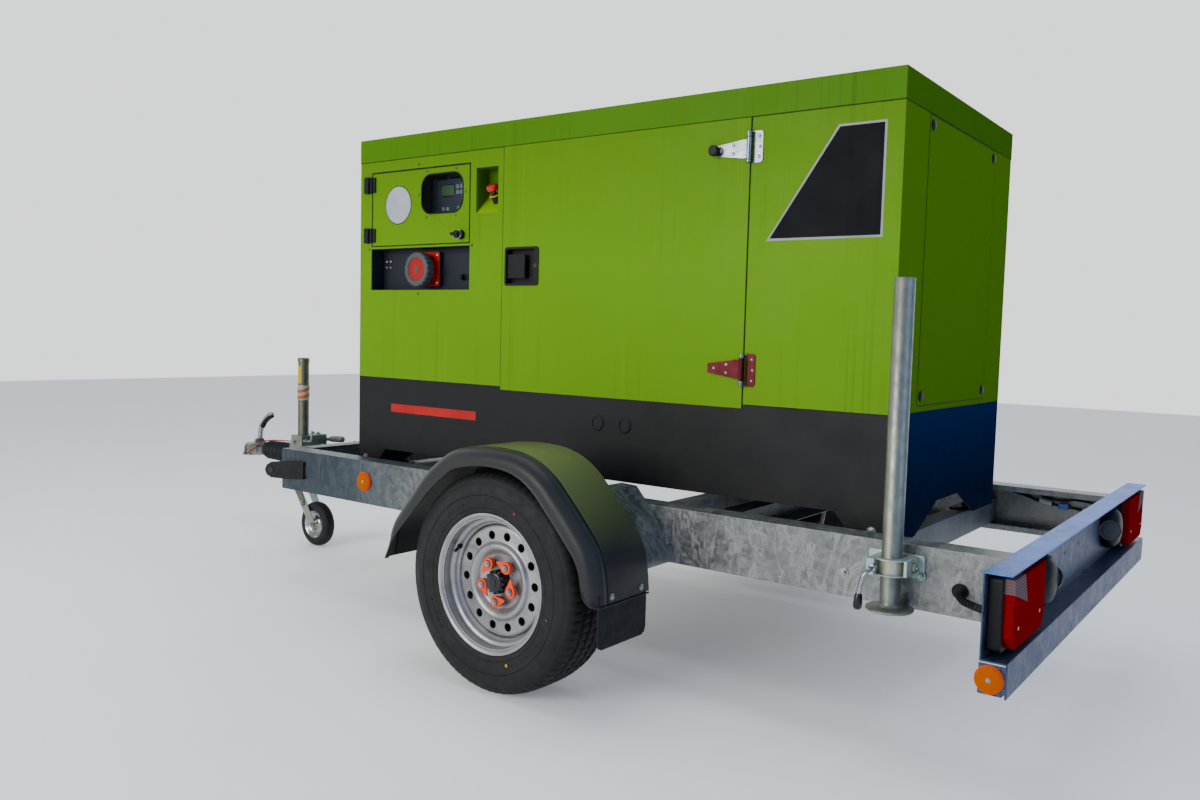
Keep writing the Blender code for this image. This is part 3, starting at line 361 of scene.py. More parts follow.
def lcd():
    M = Mat("lcd_green")
    x, y, z = M.xyz()
    rows = M.math("SINE", M.math("MULTIPLY", z, 2 * math.pi / 0.0075))
    cols = M.math("SINE", M.math("MULTIPLY", x, 2 * math.pi / 0.0040))
    t = M.ramp(M.math("MULTIPLY", rows, cols), [(0.45, 0.0), (0.60, 1.0)])
    c = M.mix(M.math("MULTIPLY", t, 0.35), (0.045, 0.085, 0.035), (0.012, 0.022, 0.012))
    return M.set(col=c, rough=0.15, emit=(0.05, 0.12, 0.04), emit_s=0.10, coat=0.6)


def clear():
    M = Mat("clear_window")
    return M.set(col=(0.80, 0.85, 0.88), rough=0.03, trans=1.0, ior=1.12, spec=0.5,
                 nrm=M.bump(M.noise(6.0, 2.0), 0.03, 0.002))


LCD, CLEAR = lcd(), clear()


# ===================================================================== mesh helpers
def box_bm(x0, x1, y0, y1, z0, z1):
    bm = bmesh.new()
    bmesh.ops.create_cube(bm, size=1.0)
    for v in bm.verts:
        v.co = Vector((x0 if v.co.x < 0 else x1, y0 if v.co.y < 0 else y1, z0 if v.co.z < 0 else z1))
    return bm


def prism_bm(pts, axis, a0, a1):
    bm = bmesh.new()
    lo, hi = [], []
    for p, q in pts:
        for lst, a in ((lo, a0), (hi, a1)):
            lst.append(bm.verts.new({"X": (a, p, q), "Y": (p, a, q), "Z": (p, q, a)}[axis]))
    n = len(pts)
    bm.faces.new(lo)
    bm.faces.new(hi)
    for i in range(n):
        j = (i + 1) % n
        bm.faces.new((lo[i], lo[j], hi[j], hi[i]))
    return bm


def lathe_bm(prof, centre, axis, seg, a0=0.0, wob=None):
    """prof: closed loop of (along, radius). wob(i, angle) gives a radius change for profile point i."""
    bm = bmesh.new()
    c = Vector(centre)
    rings = []
    for i, (a, r) in enumerate(prof):
        if r < 1e-7:
            rings.append([bm.verts.new(c + {"X": Vector((a, 0, 0)), "Y": Vector((0, a, 0)), "Z": Vector((0, 0, a))}[axis])])
            continue
        ring = []
        for k in range(seg):
            t = a0 + 2 * math.pi * k / seg
            rr = r + (wob(i, t) if wob else 0.0)
            u, w = rr * math.cos(t), rr * math.sin(t)
            ring.append(bm.verts.new(c + {"X": Vector((a, u, w)), "Y": Vector((u, a, w)), "Z": Vector((u, w, a))}[axis]))
        rings.append(ring)
    n = len(rings)
    for i in range(n):
        A, B = rings[i], rings[(i + 1) % n]
        if len(A) == 1 and len(B) == 1:
            continue
        for k in range(seg):
            j = (k + 1) % seg
            if len(A) == 1:
                bm.faces.new((A[0], B[k], B[j]))
            elif len(B) == 1:
                bm.faces.new((A[k], B[0], A[j]))
            else:
                bm.faces.new((A[k], B[k], B[j], A[j]))
    return bm


def turn(prof, p0, axis, seg=24):
    """lathe along any axis vector from p0; prof is (along, radius), closed by its ends on the axis."""
    bm = lathe_bm(prof, (0, 0, 0), "Z", seg)
    q = Vector((0, 0, 1)).rotation_difference(Vector(axis).normalized())
    bmesh.ops.transform(bm, matrix=Matrix.Translation(Vector(p0)) @ q.to_matrix().to_4x4(), verts=bm.verts)
    return bm


def rod(p0, p1, r, seg=20, ch=None):
    p0, p1 = Vector(p0), Vector(p1)
    L = (p1 - p0).length
    ch = min(r * 0.15, L * 0.2) if ch is None else ch
    return turn([(0, 0), (0, r - ch), (ch, r), (L - ch, r), (L, r - ch), (L, 0)], p0, p1 - p0, seg)


def sweep_bm(pts, r, seg=10, close_ends=True):
    P = [Vector(p) for p in pts]
    bm = bmesh.new()
    rings, tp, nrm = [], None, None
    for i, p in enumerate(P):
        t = ((P[i + 1] if i + 1 < len(P) else P[i]) - (P[i - 1] if i else P[i])).normalized()
        if nrm is None:
            up = Vector((0, 0, 1)) if abs(t.z) < 0.9 else Vector((1, 0, 0))
            nrm = t.cross(up).normalized()
        else:
            nrm = (tp.rotation_difference(t) @ nrm).normalized()
        b = t.cross(nrm).normalized()
        rr = r[i] if isinstance(r, (list, tuple)) else r
        rings.append([bm.verts.new(p + nrm * (rr * math.cos(2 * math.pi * k / seg)) + b * (rr * math.sin(2 * math.pi * k / seg))) for k in range(seg)])
        tp = t
    for A, B in zip(rings, rings[1:]):
        for k in range(seg):
            j = (k + 1) % seg
            bm.faces.new((A[k], A[j], B[j], B[k]))
    bm.faces.new(rings[0])
    bm.faces.new(rings[-1])
    return bm


def path(ctrl, n):
    C = [Vector(c) for c in ctrl]
    C = [C[0] * 2 - C[1]] + C + [C[-1] * 2 - C[-2]]
    out, m = [], len(C) - 3
    for i in range(n):
        s = i * m / (n - 1)
        k = min(int(s), m - 1)
        t = s - k
        a, b, c, d = C[k], C[k + 1], C[k + 2], C[k + 3]
        out.append(0.5 * ((2 * b) + (c - a) * t + (2 * a - 5 * b + 4 * c - d) * t * t + (3 * b - a - 3 * c + d) * t ** 3))
    return out


def rrect(cx, cy, hx, hy, r, n=6):
    pts = []
    for sx, sy, a0 in ((1, 1, 0), (-1, 1, 90), (-1, -1, 180), (1, -1, 270)):
        for k in range(n + 1):
            a = math.radians(a0 + 90 * k / n)
            pts.append((cx + sx * (hx - r) + r * math.cos(a), cy + sy * (hy - r) + r * math.sin(a)))
    return pts


def disc(cx, cy, r, n=32, a0=0.0):
    return [(cx + r * math.cos(a0 + 2 * math.pi * k / n), cy + r * math.sin(a0 + 2 * math.pi * k / n)) for k in range(n)]


def ring_bm(outer, inner, axis, a0, a1):
    """flat frame between two outlines with the same number of points"""
    bm = bmesh.new()
    def put(p, q, a):
        return bm.verts.new({"X": (a, p, q), "Y": (p, a, q), "Z": (p, q, a)}[axis])
    n = len(outer)
    O0 = [put(*p, a0) for p in outer]
    O1 = [put(*p, a1) for p in outer]
    I0 = [put(*p, a0) for p in inner]
    I1 = [put(*p, a1) for p in inner]
    for i in range(n):
        j = (i + 1) % n
        bm.faces.new((O0[i], O0[j], O1[j], O1[i]))
        bm.faces.new((I0[i], I1[i], I1[j], I0[j]))
        bm.faces.new((O0[i], I0[i], I0[j], O0[j]))
        bm.faces.new((O1[i], O1[j], I1[j], I1[i]))
    return bm


USED = set()


def out(bms, name, mat, body, bevel=0.0, seg=2, sub=0, slot=None, angle=35, rep=None, bool_cut=None):
    """one piece from one or more bmeshes"""
    if not isinstance(bms, (list, tuple)):
        bms = [bms]
    me = bpy.data.meshes.new(name)
    big = bmesh.new()
    for b in bms:
        bmesh.ops.recalc_face_normals(b, faces=b.faces)
        tmp = bpy.data.meshes.new("t")
        b.to_mesh(tmp)
        b.free()
        big.from_mesh(tmp)
        bpy.data.meshes.remove(tmp)
    big.to_mesh(me)
    big.free()
    me.transform(Matrix.Translation((OX, 0, 0)))
    me.shade_smooth()
    me.set_sharp_from_angle(angle=math.radians(angle))
    me.materials.append(mat)
    ob = bpy.data.objects.new(name, me)
    SC.collection.objects.link(ob)
    if bool_cut is not None:
        c = bpy.data.meshes.new(name + "_c")
        bb = bmesh.new()
        for b in bool_cut:
            bmesh.ops.recalc_face_normals(b, faces=b.faces)
            tmp = bpy.data.meshes.new("t")
            b.to_mesh(tmp)
            b.free()
            bb.from_mesh(tmp)
            bpy.data.meshes.remove(tmp)
        bb.to_mesh(c)
        bb.free()
        c.transform(Matrix.Translation((OX, 0, 0)))
        co = bpy.data.objects.new(name + "_c", c)
        SC.collection.objects.link(co)
        m = ob.modifiers.new("cut", "BOOLEAN")
        m.operation, m.solver, m.object = "DIFFERENCE", "EXACT", co
        bpy.context.view_layer.update()
        ev = ob.evaluated_get(bpy.context.evaluated_depsgraph_get())
        me2 = bpy.data.meshes.new_from_object(ev)
        ob.modifiers.clear()
        ob.data = me2
        bpy.data.objects.remove(co, do_unlink=True)
        me2.shade_smooth()
        me2.set_sharp_from_angle(angle=math.radians(angle))
        if not me2.materials:
            me2.materials.append(mat)
    if bevel > 0:
        m = ob.modifiers.new("bevel", "BEVEL")
        m.width, m.segments, m.limit_method, m.angle_limit = bevel, seg, "ANGLE", math.radians(32)
        m.harden_normals = True
    if sub:
        m = ob.modifiers.new("sub", "SUBSURF")
        m.levels = m.render_levels = sub
    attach(ob, body)
    if rep:
        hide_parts(*([rep] if isinstance(rep, str) else rep))
    return ob


def hexbolt(p, axis, r=0.009, h=0.006, washer=0.0, wh=0.0018, socket=False, dome=False):
    """bolt head at p on a face whose outward direction is axis"""
    p, a = Vector(p), Vector(axis).normalized()
    bms = []
    if washer:
        bms.append(turn([(0, 0), (0, washer), (wh * 0.7, washer), (wh, washer * 0.96), (wh, 0)], p, a, 28))
        p = p + a * wh
    if dome:
        bms.append(turn([(0, 0), (0, r), (h * 0.35, r * 0.97), (h * 0.75, r * 0.72), (h, r * 0.3), (h, 0)], p, a, 20))
    else:
        b = turn([(0, 0), (0, r), (h * 0.82, r), (h, r * 0.86), (h, 0)], p, a, 6)
        bms.append(b)
        bms.append(turn([(0, 0), (0, r * 0.52), (h + r * 0.25, r * 0.52), (h + r * 0.3, r * 0.45), (h + r * 0.3, 0)], p, a, 16))
    return bms


# ===================================================================== CAD nodes that stay shown
def dress(name, mat, bevel=0.0, seg=2):
    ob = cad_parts[name]
    ob.data.materials.clear()
    ob.data.materials.append(mat)
    for p in ob.data.polygons:
        p.use_smooth = True
        p.material_index = 0
    m = ob.modifiers.new("weld", "WELD")
    m.merge_threshold = 0.00004
    if bevel > 0:
        m = ob.modifiers.new("bevel", "BEVEL")
        m.width, m.segments, m.limit_method, m.angle_limit = bevel, seg, "ANGLE", math.radians(28)
        m.use_clamp_overlap = True
    m = ob.modifiers.new("wn", "WEIGHTED_NORMAL")
    m.weight = 80
    m.keep_sharp = False


for nm in ("roof_panel",):
    # roof panel in the darker lime copy: painted shade
    dress(nm, LIME_ROOF_SHADE, 0.0030, 3)
for nm in ("side_panel_front_left", "side_panel_rear_left", "side_panel_front_right", "side_panel_rear_right", "front_end_panel", "rear_end_panel", "service_door_left", "service_door_right", "control_door"):
    dress(nm, LIME_POCKET_PAINTED_LIGHT if nm == "side_panel_front_left" else LIME, 0.0012)
dress("skid_base", CHAR, 0.0016)
dress("socket_recess", DARKIN, 0.0008)
for nm in ("chassis_rail_left", "chassis_rail_right", "front_crossmember"):
    dress(nm, GALV, 0.0017)
for nm in ("body_crossmember_front", "body_crossmember_middle", "body_crossmember_rear", "torsion_axle"):
    dress(nm, GALV_D, 0.0017)
# rear light bar in the dark blue zinc copy: painted shade and painted sky reflection
dress("rear_light_bar", GALV_BAR_SKY_SHADE, 0.0017)
dress("drawbar", GALV, 0.006, 3)
for nm in ("mudguard_bracket_left", "mudguard_bracket_right"):
    dress(nm, GALV, 0.0015)
dress("overrun_housing", ZINC_G, 0.004, 3)
dress("jockey_clamp", ZINC_G, 0.004, 3)
dress("jockey_clamp_handle", ZINC, 0.0008)
dress("jockey_fork", ZINC, 0.0012)
dress("handbrake_lever", ZINC_G, 0.0006)
dress("fuel_tank", BLK, 0.012, 3)
dress("engine", CAST, 0.008, 3)
dress("alternator", ALUC, 0.004, 2)
dress("cooling_fan", BLK, 0.002)
dress("radiator", ALUC, 0.003)
dress("silencer", EXH, 0.002)
dress("control_module", BLK, 0.004, 3)
dress("latch_paddle_left", BLK, 0.0022, 3)
dress("latch_paddle_right", BLK, 0.0022, 3)
dress("upper_hinge_strap", HINGE, 0.0012)
dress("lower_hinge_strap", PINK, 0.0012)

# ===================================================================== tyres and wheels
def tyre(side, s):
    seg = 296
    # section: sidewall with rings, shoulder, tread with grooves
    P = [(0.7938, 0.1799), (0.9502, 0.1799), (0.9502, 0.1950), (0.9535, 0.1964), (0.9575, 0.1972), (0.9600, 0.2025), (0.9612, 0.2092), (0.9604, 0.2105), (0.9620, 0.2125),
         (0.9635, 0.2220), (0.9660, 0.2350), (0.9668, 0.2440), (0.9655, 0.2455), (0.9670, 0.2470), (0.9668, 0.2560), (0.9650, 0.2680), (0.9615, 0.2800), (0.9605, 0.2815), (0.9605, 0.2830),
         (0.9560, 0.2920), (0.9500, 0.2990), (0.9440, 0.3030), (0.9350, 0.3055), (0.9245, 0.3072)]
    tread = []
    # circumferential grooves at four places across the tread
    for c in (0.9130, 0.8830, 0.8510, 0.8210):
        tread += [(c + 0.0045, 0.3098 if abs(c - 0.867) < 0.03 else 0.3088), (c + 0.0030, 0.3020), (c - 0.0030, 0.3020), (c - 0.0045, 0.3098 if abs(c - 0.867) < 0.03 else 0.3088)]
    mirror = [(2 * 0.867 - a, r) for a, r in reversed(P[9:])] + [(0.7765, 0.2090), (0.7790, 0.2020), (0.7820, 0.1968), (0.7936, 0.1955)]
    prof = P + tread + mirror
    n = len(prof)
    shoulder = set(i for i, (a, r) in enumerate(prof) if r > 0.2985 and (a > 0.9180 or a < 0.8160))
    centre = set(i for i, (a, r) in enumerate(prof) if r > 0.3080 and 0.8160 <= a <= 0.9180)
    pitches = 74

    def wob(i, t):
        ph = (t / (2 * math.pi) * pitches) % 1.0
        if i in shoulder:
            return -0.0036 if ph < 0.22 else 0.0
        if i in centre:
            return -0.0030 if 0.5 <= ph < 0.75 else 0.0
        return 0.0
    bm = lathe_bm([(s * a, r) for a, r in prof], (0, 0, HUB_Z), "Y", seg, math.pi / 296, wob)
    # the tyre stands on a short flat
    for v in bm.verts:
        if v.co.z < 0.0004:
            v.co.z = 0.0004
    return out(bm, "tyre_detail_" + side, TYRE, "wheel_" + side, slot="tyre_rubber", angle=28, rep="tyre_" + side)


def rim(side, s):
    seg = 96
    body = "wheel_" + side
    P = [(0.9535, 0.1938), (0.9560, 0.1952), (0.9575, 0.1950), (0.9580, 0.1932), (0.9572, 0.1900), (0.9548, 0.1862), (0.9510, 0.1826), (0.9460, 0.1798), (0.9400, 0.1782), (0.9330, 0.1774),
         (0.9300, 0.1778), (0.9275, 0.1782), (0.9250, 0.1765), (0.9238, 0.1735), (0.9230, 0.1700), (0.9205, 0.1672), (0.9170, 0.1660), (0.9130, 0.1652), (0.9105, 0.1625), (0.9080, 0.1592), (0.9000, 0.1582),
         (0.8500, 0.1572), (0.8250, 0.1580), (0.8150, 0.1620), (0.8040, 0.1710), (0.7960, 0.1775), (0.7920, 0.1830), (0.7885, 0.1900), (0.7872, 0.1935), (0.7880, 0.1952),
         (0.7905, 0.1945), (0.7925, 0.1915), (0.7937, 0.1797), (0.8200, 0.1660), (0.8300, 0.1612), (0.9000, 0.1615), (0.9060, 0.1680), (0.9130, 0.1740), (0.9220, 0.1790), (0.9450, 0.1796), (0.9503, 0.1798), (0.9508, 0.1900)]
    out(lathe_bm([(s * a, r) for a, r in P], (0, 0, HUB_Z), "Y", seg), "rim_barrel_" + side, WHEEL, body, slot="wheel_silver", angle=50, rep="road_wheel_" + side)
    # pressed disc, outline from the well inwards, 4 mm thick
    D = [(0.8930, 0.1570), (0.8990, 0.1566), (0.9045, 0.1552), (0.9080, 0.1528), (0.9096, 0.1490), (0.9098, 0.1450), (0.9098, 0.1130), (0.9112, 0.1098), (0.9150, 0.1072), (0.9190, 0.1040), (0.9208, 0.0995), (0.9196, 0.0945),
         (0.9150, 0.0880), (0.9080, 0.0825), (0.9038, 0.0785), (0.9028, 0.0740), (0.9025, 0.0330), (0.8985, 0.0330), (0.8985, 0.0780), (0.9020, 0.0850), (0.9090, 0.0910), (0.9150, 0.0960), (0.9160, 0.1000), (0.9140, 0.1030), (0.9085, 0.1070),
         (0.9058, 0.1130), (0.9058, 0.1440), (0.9045, 0.1490), (0.9020, 0.1515), (0.8980, 0.1535), (0.8930, 0.1540)]
    cuts = []
    for k in range(14):
        a = math.radians(2.0 + 360.0 * k / 14)
        cx, cz = 0.1288 * math.cos(a), HUB_Z + 0.1288 * math.sin(a)
        y0, y1 = sorted((s * 0.895, s * 0.925))
        cuts.append(prism_bm(disc(cx, cz, 0.0121, 24), "Y", y0, y1))
    out(lathe_bm([(s * a, r) for a, r in D], (0, 0, HUB_Z), "Y", seg), "wheel_disc_" + side, WHEEL, body, slot="wheel_silver", angle=40, bool_cut=cuts)
    # rolled lips of the vent holes
    lips = []
    for k in range(14):
        a = math.radians(2.0 + 360.0 * k / 14)
        cx, cz = 0.1288 * math.cos(a), HUB_Z + 0.1288 * math.sin(a)
        lips.append(lathe_bm([(s * 0.9094, 0.0119), (s * 0.9102, 0.0123), (s * 0.9103, 0.0129), (s * 0.9096, 0.0135), (s * 0.9062, 0.0132), (s * 0.9062, 0.0119)], (cx, 0, cz), "Y", 24))
    out(lips, "vent_lips_" + side, WHEEL, body, slot="wheel_silver")
    # drum face behind the disc, and the drum
    dr = [(0.750, 0.0), (0.750, 0.1045), (0.760, 0.1050), (0.862, 0.1050), (0.868, 0.1030), (0.890, 0.0980), (0.894, 0.060), (0.894, 0.0)]
    out(lathe_bm([(s * a, r) for a, r in dr], (0, 0, HUB_Z), "Y", 64), "brake_drum_" + side, DRUM, body)
    # dark disc behind the vent holes: painted shade that keeps the holes dark
    out(lathe_bm([(s * a, r) for a, r in [(0.8800, 0.0985), (0.8830, 0.0985), (0.8850, 0.1100), (0.8850, 0.1500), (0.8830, 0.1545), (0.8810, 0.1500), (0.8810, 0.1100)]], (0, 0, HUB_Z), "Y", 96), "vent_hole_shade_disc_" + side, DRUM, body)
    # five nuts with orange pointers
    nuts, ptr = [], []
    for k in range(5):
        a = math.radians(52 + 72 * k)
        c = (0.056 * math.cos(a), 0.056 * math.sin(a))
        t = math.radians(52 + 72 * k + 108)
        tip = (c[0] + 0.034 * math.cos(t), c[1] + 0.034 * math.sin(t))
        pts = []
        n = 18
        for i in range(n + 1):
            b = t + math.radians(58) + math.radians(244) * i / n
            pts.append((c[0] + 0.0175 * math.cos(b), HUB_Z + c[1] + 0.0175 * math.sin(b)))
        pts.append((tip[0] + 0.003 * math.cos(t - 1.2), HUB_Z + tip[1] + 0.003 * math.sin(t - 1.2)))
        pts.append((tip[0] + 0.003 * math.cos(t), HUB_Z + tip[1] + 0.003 * math.sin(t)))
        pts.append((tip[0] + 0.003 * math.cos(t + 1.2), HUB_Z + tip[1] + 0.003 * math.sin(t + 1.2)))
        y0, y1 = sorted((s * 0.9215, s * 0.9260))
        o = [(c[0] + 0.0172 * math.cos(2 * math.pi * i / 36), HUB_Z + c[1] + 0.0172 * math.sin(2 * math.pi * i / 36)) for i in range(36)]
        i_ = [(c[0] + 0.0100 * math.cos(2 * math.pi * i / 36), HUB_Z + c[1] + 0.0100 * math.sin(2 * math.pi * i / 36)) for i in range(36)]
        ptr.append(ring_bm(o, i_, "Y", y0, y1))
        q = [(tip[0] + 0.0026 * math.cos(t + b_), HUB_Z + tip[1] + 0.0026 * math.sin(t + b_)) for b_ in (-1.3, -0.5, 0.5, 1.3)]
        w_ = [(c[0] + 0.0168 * math.cos(t + b_), HUB_Z + c[1] + 0.0168 * math.sin(t + b_)) for b_ in (1.25, 0.7, 0.0, -0.7, -1.25)]
        ptr.append(prism_bm(q + w_, "Y", *sorted((s * 0.9218, s * 0.9256))))
        ptr.append(turn([(0, 0.0104), (0, 0.0168), (0.0095, 0.0160), (0.0125, 0.0130), (0.0125, 0.0104)], (c[0], s * 0.9140, HUB_Z + c[1]), (0, s, 0), 30))
        nuts += [turn([(0, 0), (0, 0.0103), (0.0255, 0.0103), (0.0275, 0.0088), (0.0275, 0.0)], (c[0], s * 0.9026, HUB_Z + c[1]), (0, s, 0), 6)]
        nuts += [turn([(0, 0), (0, 0.0052), (0.0290, 0.0052), (0.0300, 0.0044), (0.0300, 0.0)], (c[0], s * 0.9026, HUB_Z + c[1]), (0, s, 0), 16)]
    out(nuts, "wheel_nuts_" + side, SCREW, body, angle=25)
    out(ptr, "nut_pointers_" + side, ORA, body, 0.0008)
    # grease cap
    hc = [(0.896, 0.0), (0.896, 0.0330), (0.9110, 0.0330), (0.9130, 0.0318), (0.9160, 0.0300), (0.9310, 0.0292), (0.9350, 0.0270), (0.9365, 0.0235), (0.9368, 0.0)]
    out([lathe_bm([(s * a, r) for a, r in hc], (0, 0, HUB_Z), "Y", 48),
         prism_bm(disc(0, HUB_Z, 0.012, 6), "Y", min(s * 0.9365, s * 0.9385), max(s * 0.9365, s * 0.9385))]
        + [rod((0.0300 * math.cos(k * math.pi / 6), s * 0.9120, HUB_Z + 0.0300 * math.sin(k * math.pi / 6)), (0.0300 * math.cos(k * math.pi / 6), s * 0.9320, HUB_Z + 0.0300 * math.sin(k * math.pi / 6)), 0.0042, 12) for k in range(12)],
        "hub_cap_" + side, BLKG, body, 0.0006)
    # rubber valve with its cap
    a = math.radians(152)
    u = Vector((math.cos(a), 0, math.sin(a)))
    p0 = Vector((0, s * 0.918, HUB_Z)) + u * 0.1675
    out([turn([(0, 0), (0, 0.0080), (0.004, 0.0078), (0.008, 0.0052), (0.020, 0.0042), (0.024, 0.0048), (0.036, 0.0046), (0.038, 0.0036), (0.038, 0.0)], p0, (-u * 0.45 + Vector((0, s * 0.9, 0))), 18)],
        "valve_" + side, RUB, body)
    # balance dot marks on the sidewall
    if s < 0:
        for nm, ang, rr, rad, mt in (("dot_yellow", -68, 0.222, 0.0048, YEL), ("dot_red", 64, 0.232, 0.0040, REDP), ("dot_grey", -14, 0.228, 0.0036, GREYP)):
            a = math.radians(ang)
            cx, cz = rr * math.cos(a), HUB_Z + rr * math.sin(a)
            yy = -0.9672 if rr < 0.25 else -0.9664
            out(turn([(0, 0), (0, rad), (0.0006, rad * 0.9), (0.0007, 0)], (cx, yy + 0.0003, cz), (0, -1, 0), 16), nm, mt, body)
    # raised plain bars around the sidewall, unlettered
    bars = []
    for base in (20, 110, 200, 290):
        for k in range(5):
            a = math.radians(base + k * 5.2)
            d = Vector((math.cos(a), 0, math.sin(a)))
            t = Vector((-math.sin(a), 0, math.cos(a)))
            c = d * 0.2290 + Vector((0, s * 0.9650, HUB_Z))
            b = box_bm(-0.0058, 0.0058, -0.0007, 0.0007, -0.0042, 0.0042)
            m = Matrix.Identity(4)
            yv = Vector((0, s, 0))
            tilt = (d + yv * -0.0).normalized()
            for i in range(3):
                m[i][0], m[i][1], m[i][2], m[i][3] = t[i], yv[i], tilt[i], c[i]
            bmesh.ops.transform(b, matrix=m, verts=b.verts)
            bars.append(b)
    out(bars, "sidewall_bars_" + side, TYRE, body, 0.0005)


for s, side in ((-1, "left"), (1, "right")):
    tyre(side, s)
    rim(side, s)

# ===================================================================== mudguards
def round_poly(pts, r, n=6):
    P = [Vector(p) for p in pts]
    outp = [P[0]]
    for i in range(1, len(P) - 1):
        a, b, c = P[i - 1], P[i], P[i + 1]
        d = min(r, (a - b).length * 0.45, (c - b).length * 0.45)
        p, q = b + (a - b).normalized() * d, b + (c - b).normalized() * d
        for k in range(n + 1):
            t = k / n
            outp.append(p * (1 - t) ** 2 + b * (2 * t * (1 - t)) + q * t * t)
    outp.append(P[-1])
    return outp


def guard(side, s):
    arch = [(-0.409, 0.322, 0.010), (-0.392, 0.425, 0.045), (-0.243, 0.602, 0.062), (-0.150, 0.668, 0.058), (-0.070, 0.6805, 0.052), (0.012, 0.6845, 0.048), (0.095, 0.679, 0.050),
            (0.160, 0.6590, 0.053), (0.214, 0.6240, 0.055), (0.302, 0.5330, 0.056), (0.3598, 0.4660, 0.054), (0.3800, 0.4200, 0.051), (0.3888, 0.3640, 0.048), (0.3905, 0.3440, 0.044), (0.3912, 0.3350, 0.036), (0.3918, 0.3240, 0.018), (0.3920, 0.3155, 0.006)]
    Q = round_poly([(a, b, c) for a, b, c in arch], 0.045, 6)
    # even spacing
    R, keep = [Q[0]], 0.0
    for p in Q[1:]:
        if (Vector((p.x, p.y)) - Vector((R[-1].x, R[-1].y))).length > 0.006:
            R.append(p)
    bm = bmesh.new()
    rows = []
    for i, p in enumerate(R):
        a, b = R[max(i - 1, 0)], R[min(i + 1, len(R) - 1)]
        t = Vector((b.x - a.x, b.y - a.y)).normalized()
        nrm = Vector((t.y, -t.x))
        d = p.z
        k = min(1.0, d / 0.06)
        sec = [(0.7500, 0.0008), (0.7520, 0.0), (0.9200, 0.0), (0.9280, 0.0), (0.9300, 0.0016), (0.9315, 0.0024), (0.9330, 0.0016), (0.9350, 0.0002), (0.9450, 0.0010), (0.9560, 0.0040), (0.9660, 0.0095), (0.9740, 0.0175), (0.9785, 0.0270),
               (0.9795, 0.0360), (0.9790, d * 0.86), (0.9792, d * 0.93), (0.9800, d * 0.955), (0.9800, d * 0.985), (0.9785, d), (0.9755, d), (0.9750, d * 0.96), (0.9755, 0.0365), (0.9745, 0.0285), (0.9705, 0.0205), (0.9635, 0.0135), (0.9540, 0.0080), (0.9440, 0.0048), (0.9350, 0.0040), (0.7520, 0.0040), (0.7500, 0.0032)]
        row = []
        for y, r in sec:
            r = min(r, d * 0.98) if y > 0.96 else r * k
            row.append(bm.verts.new((p.x + nrm.x * r, s * y, p.y + nrm.y * r)))
        rows.append(row)
    for A, B in zip(rows, rows[1:]):
        for k in range(len(A)):
            j = (k + 1) % len(A)
            bm.faces.new((A[k], A[j], B[j], B[k]))
    bm.faces.new(rows[0])
    bm.faces.new(rows[-1])
    out(bm, "guard_shell_" + side, GUARD, "chassis", slot="black_plastic", angle=40, rep="mudguard_" + side)
    # rolled lip along the foot of the rear face, running round its outer corner
    lp = path([(0.3925, s * 0.7530, 0.3165), (0.3927, s * 0.8400, 0.3162), (0.3925, s * 0.9300, 0.3162), (0.3905, s * 0.9620, 0.3172), (0.3800, s * 0.9770, 0.3195), (0.3640, s * 0.9790, 0.3250), (0.3520, s * 0.9790, 0.3370), (0.3455, s * 0.9790, 0.3540)], 60)
    out([sweep_bm(lp, 0.0026, 10)], "guard_lip_" + side, GUARD, "chassis")
    y0, y1 = sorted((s * 0.7560, s * 0.9640))
    fl = [(y0, 0.345), (y1, 0.345), (y1, 0.226), (y1 - 0.005, 0.212), (y1 - 0.018, 0.2055), (y0 + 0.018, 0.2055), (y0 + 0.005, 0.212), (y0, 0.226)]
    out(prism_bm(fl, "X", 0.3832, 0.3882), "mud_flap_" + side, FLAP, "chassis", 0.0012)
    sc = []
    for yy in (0.785, 0.912):
        sc += hexbolt((0.3908, s * yy, 0.3365), (1, 0, 0), 0.0058, 0.0042, 0.0090, 0.0015, dome=True)
    out(sc, "guard_screws_" + side, SCREW, "chassis")


for s, side in ((-1, "left"), (1, "right")):
    guard(side, s)
    # bolts on the guard bracket
    b = []
    for x, z in ((0.270, 0.440), (0.345, 0.400), (-0.230, 0.450)):
        b += hexbolt((x, s * 0.6243, z), (0, s, 0), 0.0085, 0.006, 0.013)
    out(b, "bracket_bolts_" + side, SCREW, "chassis")
    b = []
    # painted shade: a black disc on the rail web stands in for the shadowed inside of a hole
    out(turn([(0, 0.0), (0, 0.0062), (0.0005, 0.0062), (0.0005, 0.0)], (0.3082, s * 0.6204, 0.4920), (0, s, 0), 20), "web_hole_shade_" + side, BLKG, "chassis")

# ===================================================================== canopy trim
def frame_line(name, x0, x1, z0, z1, w, s, y, mat=GASKET_AND_SEAM_SHADE, body="chassis", t=0.0008):
    """thin dark line round a rectangle on a side face: painted shade at the edge of an opening"""
    y0, y1 = sorted((s * y, s * (y + t)))
    bms = [box_bm(x0 - w, x0, y0, y1, z0 - w, z1 + w), box_bm(x1, x1 + w, y0, y1, z0 - w, z1 + w),
           box_bm(x0, x1, y0, y1, z1, z1 + w), box_bm(x0, x1, y0, y1, z0 - w, z0)]
    return out(bms, name, mat, body)


